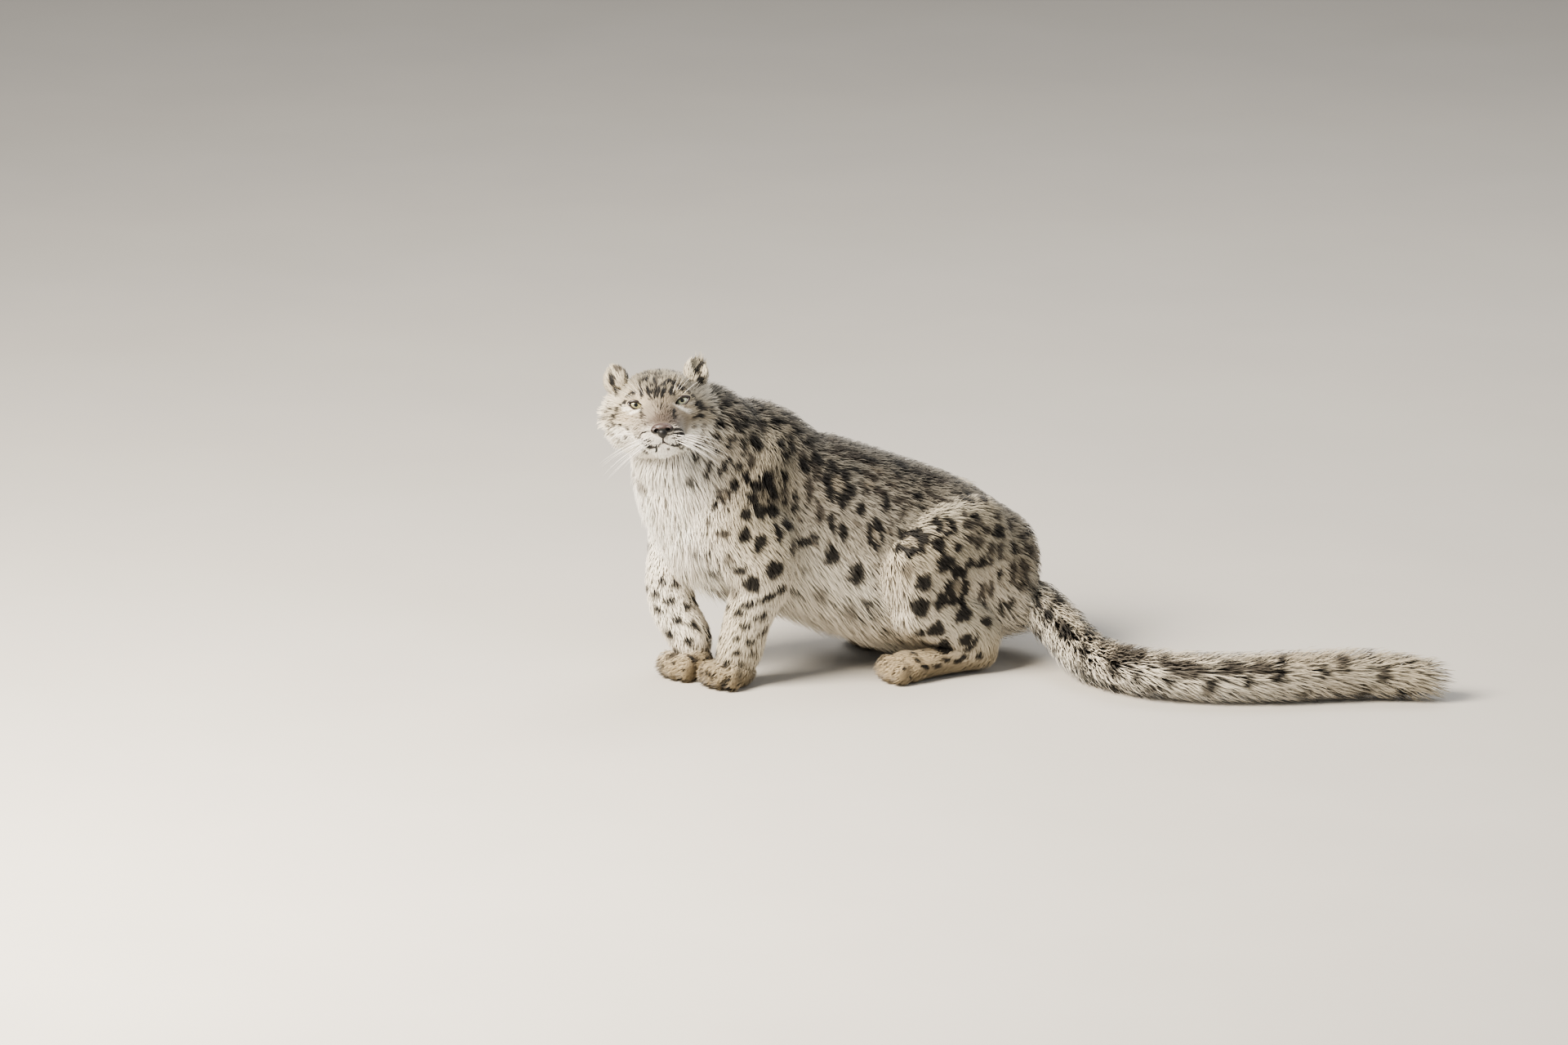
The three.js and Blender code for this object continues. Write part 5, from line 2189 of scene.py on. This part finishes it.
        return {
            "points": points.reshape(-1, 3),
            "normals": unit(np.stack(leans, 1)).reshape(-1, 3),
            "colours": np.clip(np.stack(shades, 1), 0, 1).reshape(-1, 3),
            "corners": corners.ravel(),
            "sizes": np.tile(sizes, count),
            "places": np.clip(places.reshape(-1, 2), 0, 1),
        }

    @staticmethod
    def mesh(
        name: str,
        points: Array,
        normals: Array,
        colours: Array,
        corners: Array,
        sizes: Array,
        places: Array,
    ) -> Piece:
        """Turns the arrays of a coat piece into an object.

        Args:
            name: The object's name.
            points: Its points in the part's frame.
            normals: The way that each point's shading faces.
            colours: Each point's colour.
            corners: The points of the faces, one face after another.
            sizes: How many corners each face has.
            places: Each corner's place on the flat map.

        Returns:
            The new object.
        """
        mesh = bpy.data.meshes.new(name)
        mesh.vertices.add(len(points))
        mesh.vertices.foreach_set("co", to_metres(points).astype(np.float32).ravel())
        mesh.loops.add(len(corners))
        mesh.loops.foreach_set("vertex_index", corners.astype(np.int32))
        mesh.polygons.add(len(sizes))
        starts = np.concatenate([[0], np.cumsum(sizes)[:-1]]).astype(np.int32)
        mesh.polygons.foreach_set("loop_start", starts)
        mesh.polygons.foreach_set("use_smooth", np.ones(len(sizes), bool))
        mesh.update(calc_edges=True)
        paint(mesh, colours)
        layer = mesh.uv_layers.new(name="OFBake")
        layer.uv.foreach_set("vector", places.astype(np.float32).ravel())
        mesh.normals_split_custom_set_from_vertices(normals.astype(np.float32))
        return new_object(name, mesh)


# The face: eyes, nose, lids, lips and whiskers.


@dataclass
class Eye:
    """An eyeball that bulges in front. Its material draws the iris and the pupil."""

    side: int
    iris: float = 50.0
    bulge: float = 0.9

    def build(self) -> Piece:
        """Builds the eyeball, and keeps at each point its angle from the gaze, for the material.

        Returns:
            The new object.
        """
        name = "eyeball_left" if self.side > 0 else "eyeball_right"
        bm = bmesh.new()
        bmesh.ops.create_uvsphere(bm, u_segments=64, v_segments=72, radius=1)
        points = np.array([vert.co for vert in bm.verts])
        polar = np.degrees(np.arccos(np.clip(points[:, 2], -1, 1)))
        bulge = self.bulge * np.clip(1 - (polar / self.iris) ** 2, 0, 1) ** 0.7
        local = points * (EYE_RADIUS + bulge)[:, None]
        axes = np.array([HEAD_AXES[1], HEAD_AXES[2], HEAD_AXES[0]])
        at = head_to_part([EYE_FORWARD, self.side * EYE_SPREAD, 0])
        for vert, point in zip(bm.verts, to_metres(local @ axes + at)):
            vert.co = Vector(point)
        piece = object_from(name, bm)
        gaze = piece.data.attributes.new("gaze", "FLOAT", "POINT")
        order = np.array([vert.co for vert in piece.data.vertices])
        way = unit(to_part(order) - at)
        angle = np.degrees(np.arccos(np.clip(way @ HEAD_AXES[0], -1, 1))) / 90
        gaze.data.foreach_set("value", angle.astype(np.float32))
        spoke = piece.data.attributes.new("spoke", "FLOAT_VECTOR", "POINT")
        around = unit(np.stack([way @ HEAD_AXES[1], way @ HEAD_AXES[2], np.zeros(len(way))], 1))
        around[:, 2] = angle * 1.5
        spoke.data.foreach_set("vector", around.astype(np.float32).ravel())
        return piece


@dataclass
class Nose:
    """The bare leather of the nose, with its two nostrils."""

    nostril: Rows = ((84, 6.5, -46.5), (79, 9.5, -46.8), (75, 15, -45.0), (72, 20, -42.6))
    nostril_radii: tuple[float, ...] = (4.1, 3.7, 2.7, 1.7)
    groove: Rows = ((83, 0, -44), (81, 0, -52), (78.5, 0, -60.0))

    def build(self) -> Piece:
        """Builds the nose, cuts the nostrils and the groove, and paints it.

        Returns:
            The new object.
        """
        parts = [
            ball(head_to_part([67.5, 0, -42.5]), np.array([12.6, 19, 9.2]), rings=18),
            ball(head_to_part([70, 0, -51]), np.array([9.4, 8.4, 9.4]), rings=14),
        ]
        for side in (1, -1):
            wing = head_to_part([72, side * 11.5, -45.5])
            parts.append(ball(wing, np.array([8.2, 8.4, 6.6]), rings=14))
        nose = remeshed(joined("nose_leather", parts), 0.9, 4)
        for side in (1, -1):
            path = np.array(self.nostril) * (1, side, 1)
            rows = spline(path, np.linspace(0, 1, 12))
            size = np.interp(np.linspace(0, 1, 12), np.linspace(0, 1, 4), self.nostril_radii)
            nose = combined(nose, sweep("nostril", head_to_part(rows), size, 12), "DIFFERENCE")
        groove = head_to_part(spline(np.array(self.groove), np.linspace(0, 1, 8)))
        nose = combined(nose, sweep("groove", groove, np.full(8, 0.9), 8), "DIFFERENCE")
        nose.name = nose.data.name = "nose_leather"
        self.tint(nose)
        return nose

    @staticmethod
    def tint(nose: Piece) -> None:
        """Paints the leather: brown on top, black round the nostrils and below.

        Args:
            nose: The nose.
        """
        points, _, _ = read_mesh(nose.data)
        local = part_to_head(points)
        top, low = srgb(68, 55, 52), srgb(13, 11, 11)
        edge = local[:, 2] + 0.05 * (np.abs(local[:, 1])) ** 1.6
        dark = smoothstep(-40.5, -45.0, edge + 1.6 * noise(points, 4, 12))
        side = smoothstep(12.5, 18.5, np.abs(local[:, 1]))
        dark = np.clip(dark + 0.6 * side, 0, 1)[:, None]
        paint(nose.data, np.array(top) * (1 - dark) + np.array(low) * dark)


@dataclass
class Trim:
    """The bare dark skin of the lids and lips."""

    rim: float = 1.7

    def lids(self, skin: Skin) -> Piece:
        """Dark rims along the openings of both eyes.

        Args:
            skin: The plan of the skin, which gives the openings.

        Returns:
            The new object.
        """
        tubes = []
        for side in (1, -1):
            outline = skin.almond(side, 44)
            radius = EYE_RADIUS + skin.lid_thickness * 0.8
            flat = np.hypot(outline[:, 0], outline[:, 1])
            ahead = np.sqrt(np.maximum(radius**2 - flat**2, 4))
            across = side * EYE_SPREAD + outline[:, 0]
            path = np.column_stack([ahead + EYE_FORWARD, across, outline[:, 1]])
            width = self.rim * (1 + 0.35 * (outline[:, 1] > 0))
            tubes.append(sweep("rim", head_to_part(path), width, 10, closed=True))
        return joined("eye_rims", tubes)

    @staticmethod
    def lips(head: Piece) -> Piece:
        """The black edges of the lips and the groove under the nose.

        Args:
            head: The skin.

        Returns:
            The new object.
        """
        mouth, groove = mouth_paths(head, 0.4)
        share = np.linspace(-1, 1, len(mouth))
        lip = sweep("lip", mouth, 1.6 - 0.6 * share**2, 10)
        return joined("lips", [lip, sweep("lip_groove", groove, np.full(len(groove), 1.1), 8)])


@dataclass
class Whiskers:
    """Stiff pale hairs of the muzzle, in rows, and of the brows."""

    rows: int = 4
    each: int = 5
    length: float = 96.0
    radius: float = 0.42
    brows: int = 4
    brow_length: float = 44.0
    brow_radius: float = 0.3
    seed: int = 5

    def build(self, head: Piece) -> Piece:
        """Builds all the whiskers as thin bent tubes.

        Args:
            head: The skin.

        Returns:
            The new object.
        """
        draw = np.random.default_rng(self.seed)
        tree = surface_tree(head)
        tubes = []
        for side in (1, -1):
            for row in range(self.rows):
                for column in range(self.each):
                    across = side * (14 + 4.4 * column + 1.2 * row)
                    place = (70 - 4.0 * column, across, -55 - 4.6 * row - 0.8 * column)
                    root = on_face(tree, place, -2)
                    size = self.length * (0.45 + 0.11 * column) * draw.uniform(0.85, 1.1)
                    fall = -0.16 - 0.09 * row + draw.normal(0, 0.06)
                    way = np.array([0.42 - 0.13 * column, side, fall])
                    tubes.append(self.hair(root, way, size, self.radius, -0.22))
            for number in range(self.brows):
                root = on_face(tree, (30, side * (28 + 6 * number), 17 + 1.5 * number), -1)
                way = np.array([0.35, side * (0.35 + 0.25 * number), 0.9])
                size = self.brow_length * draw.uniform(0.8, 1.1)
                tubes.append(self.hair(root, way, size, self.brow_radius, -0.1))
        return joined("whiskers", tubes)

    @staticmethod
    def hair(root: Array, way: Array, size: float, radius: float, droop: float) -> Piece:
        """One whisker.

        Args:
            root: Where it leaves the skin, in the part's frame.
            way: Its direction in the head's frame.
            size: Its length.
            radius: Its thickness at the root.
            droop: How far its tip bends up or down.

        Returns:
            The new object.
        """
        share = np.linspace(0, 1, 9)
        local = unit(way)[None] * (share * size)[:, None]
        local[:, 0] -= 0.18 * size * share**2
        local[:, 2] += droop * size * share**2
        path = root + local @ HEAD_AXES
        return sweep("whisker", path, radius * (1 - 0.9 * share), 5)


# The finishes.


def new_group(name: str, inputs: dict[str, str], outputs: dict[str, str]) -> NodeTree:
    """A shader node group with named sockets.

    Args:
        name: The group's name.
        inputs: Socket kinds by name.
        outputs: Socket kinds by name.

    Returns:
        The empty group.
    """
    tree = bpy.data.node_groups.new(name, "ShaderNodeTree")
    for socket, kind in inputs.items():
        tree.interface.new_socket(socket, in_out="INPUT", socket_type=kind)
    for socket, kind in outputs.items():
        tree.interface.new_socket(socket, in_out="OUTPUT", socket_type=kind)
    return tree


def mottle_group() -> NodeTree:
    """A group that varies a colour softly over a surface.

    Returns:
        The group, which gives the varied colour and a height.
    """
    tree = new_group(
        "mottle",
        {"Colour": "NodeSocketColor", "Scale": "NodeSocketFloat", "Amount": "NodeSocketFloat"},
        {"Colour": "NodeSocketColor", "Height": "NodeSocketFloat"},
    )
    add, link = tree.nodes.new, tree.links.new
    source, sink = add("NodeGroupInput"), add("NodeGroupOutput")
    place = add("ShaderNodeTexCoord")
    cloud = add("ShaderNodeTexNoise")
    cloud.inputs["Detail"].default_value = 4
    link(place.outputs["Object"], cloud.inputs["Vector"])
    link(source.outputs["Scale"], cloud.inputs["Scale"])
    spread = add("ShaderNodeMapRange")
    spread.inputs["From Min"].default_value = 0.3
    spread.inputs["From Max"].default_value = 0.7
    spread.inputs["To Min"].default_value = -1
    link(cloud.outputs["Fac"], spread.inputs["Value"])
    gain = add("ShaderNodeMath")
    gain.operation = "MULTIPLY_ADD"
    gain.inputs[2].default_value = 1
    link(spread.outputs["Result"], gain.inputs[0])
    link(source.outputs["Amount"], gain.inputs[1])
    scale = add("ShaderNodeVectorMath")
    scale.operation = "SCALE"
    link(source.outputs["Colour"], scale.inputs["Vector"])
    link(gain.outputs["Value"], scale.inputs["Scale"])
    link(scale.outputs["Vector"], sink.inputs["Colour"])
    link(cloud.outputs["Fac"], sink.inputs["Height"])
    return tree


def pebble_group() -> NodeTree:
    """A group for fine pebbled skin.

    Returns:
        The group, which gives a height.
    """
    tree = new_group("pebble", {"Scale": "NodeSocketFloat"}, {"Height": "NodeSocketFloat"})
    add, link = tree.nodes.new, tree.links.new
    source, sink = add("NodeGroupInput"), add("NodeGroupOutput")
    place = add("ShaderNodeTexCoord")
    cells = add("ShaderNodeTexVoronoi")
    link(place.outputs["Object"], cells.inputs["Vector"])
    link(source.outputs["Scale"], cells.inputs["Scale"])
    link(cells.outputs["Distance"], sink.inputs["Height"])
    return tree


@dataclass(frozen=True)
class Finish:
    """What every finish is made of: its shader's own settings."""

    name: str
    roughness: float
    specular: float = 0.5
    coat: float = 0.0
    coat_roughness: float = 0.05
    sheen: float = 0.0

    def shader(self) -> tuple[Material, Node]:
        """A new material with this finish.

        Returns:
            The material and its principled shader.
        """
        material = bpy.data.materials.new(self.name)
        material.use_nodes = True
        shader = material.node_tree.nodes["Principled BSDF"]
        values = {
            "Roughness": self.roughness,
            "Specular IOR Level": self.specular,
            "Coat Weight": self.coat,
            "Coat Roughness": self.coat_roughness,
            "Sheen Weight": self.sheen,
        }
        for socket, value in values.items():
            shader.inputs[socket].default_value = value
        return material, shader


class Finishes:
    """All the materials of the animal and the floor."""

    def __init__(self) -> None:
        """Builds the shared groups once."""
        self.mottle = mottle_group()
        self.pebble = pebble_group()

    @staticmethod
    def grouped(material: Material, tree: NodeTree, **values: float) -> Node:
        """Places a shared group in a material.

        Args:
            material: The material.
            tree: The group.
            values: The group's own values there, by socket.

        Returns:
            The group's node.
        """
        node = material.node_tree.nodes.new("ShaderNodeGroup")
        node.node_tree = tree
        for name, value in values.items():
            node.inputs[name].default_value = value
        return node

    @staticmethod
    def bump(
        material: Material,
        shader: Node,
        height: bpy.types.NodeSocket,
        strength: float,
        distance: float,
    ) -> None:
        """Feeds a height through a bump node into a shader.

        Args:
            material: The material.
            shader: Its shader.
            height: The socket that gives the height.
            strength: How strong the bumps are, from 0 to 1.
            distance: How high they are, in metres.
        """
        node = material.node_tree.nodes.new("ShaderNodeBump")
        node.inputs["Strength"].default_value = strength
        node.inputs["Distance"].default_value = distance
        material.node_tree.links.new(height, node.inputs["Height"])
        material.node_tree.links.new(node.outputs["Normal"], shader.inputs["Normal"])

    def plain(
        self, finish: Finish, colour: Colour, scale: float, amount: float
    ) -> tuple[Material, Node, Node]:
        """A material of one colour, softly mottled.

        Args:
            finish: Its finish.
            colour: The colour.
            scale: How fine the mottling is.
            amount: How strong the mottling is.

        Returns:
            The material, its shader and the node of the mottling.
        """
        material, shader = finish.shader()
        mottle = self.grouped(material, self.mottle, Scale=scale, Amount=amount)
        mottle.inputs["Colour"].default_value = (*colour, 1)
        material.node_tree.links.new(mottle.outputs["Colour"], shader.inputs["Base Color"])
        return material, shader, mottle

    def painted(self, finish: Finish, scale: float, amount: float) -> tuple[Material, Node, Node]:
        """A material that shows the colour kept at the mesh's points, softly mottled.

        Args:
            finish: Its finish.
            scale: How fine the mottling is.
            amount: How strong the mottling is.

        Returns:
            The material, its shader and the node of the mottling.
        """
        material, shader = finish.shader()
        tree = material.node_tree
        colour = tree.nodes.new("ShaderNodeAttribute")
        colour.attribute_name = COLOUR_LAYER
        mottle = self.grouped(material, self.mottle, Scale=scale, Amount=amount)
        tree.links.new(colour.outputs["Color"], mottle.inputs["Colour"])
        tree.links.new(mottle.outputs["Colour"], shader.inputs["Base Color"])
        return material, shader, mottle

    def fur(self) -> Material:
        """The tufts of the coat."""
        return self.painted(Finish("fur", 0.62, specular=0.25, sheen=0.12), 900, 0.08)[0]

    def hide(self) -> Material:
        """The short hair that lies flat on the skin.

        Returns:
            The material.
        """
        finish = Finish("hide", 0.75, specular=0.2, sheen=0.1)
        material, shader, mottle = self.painted(finish, 700, 0.16)
        self.bump(material, shader, mottle.outputs["Height"], 0.6, 0.0012)
        return material

    def leather(self) -> Material:
        """The bare leather of the nose.

        Returns:
            The material.
        """
        finish = Finish("nose_leather", 0.36, coat=0.12, coat_roughness=0.25)
        material, shader, _ = self.painted(finish, 260, 0.16)
        pebble = self.grouped(material, self.pebble, Scale=1500)
        self.bump(material, shader, pebble.outputs["Height"], 0.5, 0.0004)
        return material

    def bare(self) -> Material:
        """The dark bare skin of the lids and lips.

        Returns:
            The material.
        """
        finish = Finish("bare_skin", 0.34, coat=0.2, coat_roughness=0.2)
        material, shader, mottle = self.plain(finish, srgb(34, 27, 25), 420, 0.3)
        self.bump(material, shader, mottle.outputs["Height"], 0.3, 0.0004)
        return material

    def whisker(self) -> Material:
        """The stiff pale hairs."""
        return self.plain(Finish("whisker", 0.4, specular=0.4), srgb(240, 236, 228), 60, 0.05)[0]

    def eye(self, warm: float) -> Material:
        """The eyeball: pupil, streaked iris, dark edge and white.

        Args:
            warm: How yellow the iris is, from 0 to 1: painted warm light on the lit eye, less on the
                shaded one.

        Returns:
            The material.
        """
        # A sunlit and a shaded copy of the same eye: the yellow of the iris is painted light.
        name = "eye_sunlit" if warm > 0.5 else "eye_shaded"
        material, shader = Finish(name, 0.12, coat=1.0, coat_roughness=0.03).shader()
        tree = material.node_tree
        gaze, spoke = (tree.nodes.new("ShaderNodeAttribute") for _ in range(2))
        gaze.attribute_name, spoke.attribute_name = "gaze", "spoke"
        streak = tree.nodes.new("ShaderNodeTexNoise")
        streak.inputs["Scale"].default_value = 9
        streak.inputs["Detail"].default_value = 5
        tree.links.new(spoke.outputs["Vector"], streak.inputs["Vector"])
        ramp = tree.nodes.new("ShaderNodeValToRGB")
        iris = srgb(152 + 26 * warm, 162 + 4 * warm, 152 - 34 * warm)
        pupil = (0.004, 0.004, 0.004)
        stops = (
            (0.0, pupil),
            (0.118, pupil),
            (0.14, srgb(118, 118, 94)),
            (0.26, iris),
            (0.45, iris),
            (0.53, srgb(88, 92, 78)),
            (0.565, srgb(22, 19, 18)),
            (0.62, srgb(40, 32, 29)),
            (0.8, srgb(60, 48, 44)),
        )
        while len(ramp.color_ramp.elements) < len(stops):
            ramp.color_ramp.elements.new(0.5)
        for element, (position, colour) in zip(ramp.color_ramp.elements, stops):
            element.position = position
            element.color = (*colour, 1)
        tree.links.new(gaze.outputs["Fac"], ramp.inputs["Fac"])
        spread = tree.nodes.new("ShaderNodeMapRange")
        spread.inputs["From Min"].default_value = 0.3
        spread.inputs["From Max"].default_value = 0.7
        spread.inputs["To Min"].default_value = 0.72
        spread.inputs["To Max"].default_value = 1.22
        tree.links.new(streak.outputs["Fac"], spread.inputs["Value"])
        tone = tree.nodes.new("ShaderNodeVectorMath")
        tone.operation = "SCALE"
        tree.links.new(ramp.outputs["Color"], tone.inputs["Vector"])
        tree.links.new(spread.outputs["Result"], tone.inputs["Scale"])
        tree.links.new(tone.outputs["Vector"], shader.inputs["Base Color"])
        return material

    def ground(self) -> Material:
        """The plain pale floor."""
        finish = Finish("pale_floor", 0.85, specular=0.2)
        return self.plain(finish, srgb(186, 182, 175), 2.5, 0.02)[0]


# The studio.


# The lights shine at this height above the floor, in metres.
LIGHTS_AIM = (0, 0, 0.25)


@dataclass
class Studio:
    """The floor, the lights and the camera."""

    lens: float = 320.0
    sensor: float = 36.0
    floor_half: float = 60.0
    depth: float = 130.0

    def camera(self) -> None:
        """Places the camera at the photograph's angle and framing."""
        distance = self.lens / self.sensor * PHOTO_WIDE * MM_PER_PIXEL
        column, row = PHOTO_WIDE / 2, PHOTO_TALL / 2
        right = (column - ORIGIN_COLUMN) * MM_PER_PIXEL
        up = (ORIGIN_ROW - row + (column - LEVEL_COLUMN) * VIEW_ROLL) * MM_PER_PIXEL
        middle = RIGHT * right + UP * up + BACK * self.depth
        level = unit(RIGHT + UP * VIEW_ROLL)
        above = np.cross(BACK, level)
        data = bpy.data.cameras.new("photo_view")
        data.lens = self.lens
        data.sensor_width = self.sensor
        data.clip_end = 200
        made = new_object("photo_view", data)
        turn = Matrix((level, above, BACK)).transposed().to_4x4()
        made.matrix_world = Matrix.Translation(Vector(to_metres(middle + BACK * distance))) @ turn
        bpy.context.scene.camera = made

    def floor(self, material: Material) -> None:
        """Lays the plain floor.

        Args:
            material: Its material.
        """
        bm = bmesh.new()
        bmesh.ops.create_grid(bm, x_segments=1, y_segments=1, size=self.floor_half)
        piece = object_from("floor", bm)
        piece.data.materials.append(material)

    @staticmethod
    def light(
        name: str, way: Array, distance: float, size: float, power: float, colour: Colour
    ) -> None:
        """A soft square light that shines on the animal.

        Args:
            name: Its name.
            way: The way to it from the animal.
            distance: How far off it is, in metres.
            size: Its side in metres.
            power: Its power in watts.
            colour: Its colour.
        """
        data = bpy.data.lights.new(name, "AREA")
        data.size = size
        data.energy = power
        data.color = colour
        made = new_object(name, data)
        toward = unit(way)
        made.location = Vector(toward * distance) + Vector(LIGHTS_AIM)
        made.rotation_mode = "QUATERNION"
        made.rotation_quaternion = Vector(toward).to_track_quat("Z", "Y")

    def lights(self) -> None:
        """Sets a warm key light, a soft fill, a light from behind and a pale surround."""
        key = BACK * 0.75 - RIGHT * 0.95 + np.array([0, 0, 0.75])
        fill = BACK * 0.9 + RIGHT * 0.8 + np.array([0, 0, 0.5])
        rear = -BACK * 0.8 + RIGHT * 0.3 + np.array([0, 0, 1.4])
        self.light("key", key, 4.5, 2.0, 690, (1.0, 0.92, 0.81))
        self.light("fill", fill, 5.0, 3.0, 55, (0.9, 0.95, 1.0))
        self.light("rear", rear, 5.0, 3.0, 120, (1.0, 0.98, 0.95))
        world = bpy.data.worlds.new("surround")
        world.use_nodes = True
        background = world.node_tree.nodes["Background"]
        background.inputs["Color"].default_value = (0.86, 0.88, 0.92, 1)
        background.inputs["Strength"].default_value = 0.38
        bpy.context.scene.world = world
        bpy.context.scene.view_settings.look = "AgX - Medium High Contrast"


# The whole animal.


EASE_ROUNDS = 24
SKIN_TONE = 0.9
# How yellow each iris is: the right eye faces the warm key light and gets painted warm light, the left
# painted cool shade.
LEFT_SUNLIT_YELLOW, RIGHT_SUNLIT_YELLOW = 0.2, 0.8


def report(piece: Piece) -> None:
    """Logs a piece and how many faces it has."""
    mesh = piece.data
    log.info("%s: %d points, %d faces", piece.name, len(mesh.vertices), len(mesh.polygons))


def main() -> None:
    """Builds the animal piece by piece, then the studio round it."""
    logging.basicConfig(level=logging.INFO, format="%(relativeCreated)7d ms  %(message)s")
    finishes = Finishes()
    studio = Studio()
    studio.camera()
    studio.lights()
    studio.floor(finishes.ground())

    body = Body()
    plan = Skin()
    skin = plan.build()
    report(skin)
    lips = Trim.lips(skin)
    rims = Trim().lids(plan)
    whiskers = Whiskers().build(skin)
    nose = Nose().build()
    eyes = [Eye(1).build(), Eye(-1).build()]

    markings = Markings()
    points, normals, _ = read_mesh(skin.data)
    found = body.describe(points, normals)
    body.eased(found, skin.data, EASE_ROUNDS)
    markings.fill(points, normals, found)
    log.info("%d marks", len(markings.marks))
    paint(skin.data, markings.colour(points, found["colour"]) * SKIN_TONE)

    tufts = Tufts(skin, found, markings)
    tufts.grow()
    log.info("%d tufts", len(tufts.roots))
    fur = finishes.fur()
    for piece in tufts.pieces():
        dress(piece, fur)
        report(piece)

    dress(skin, finishes.hide())
    flesh = [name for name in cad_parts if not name.startswith("eye_") and name != "nose"]
    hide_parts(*flesh)
    bare = finishes.bare()
    dress(lips, bare)
    dress(rims, bare)
    dress(whiskers, finishes.whisker())
    dress(nose, finishes.leather())
    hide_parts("nose")
    for piece, node, warm in zip(eyes, ("eye_left", "eye_right"), (LEFT_SUNLIT_YELLOW, RIGHT_SUNLIT_YELLOW)):
        dress(piece, finishes.eye(warm))
        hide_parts(node)
    for piece in (lips, rims, whiskers, nose, *eyes):
        report(piece)


if __name__ == "__main__":
    main()
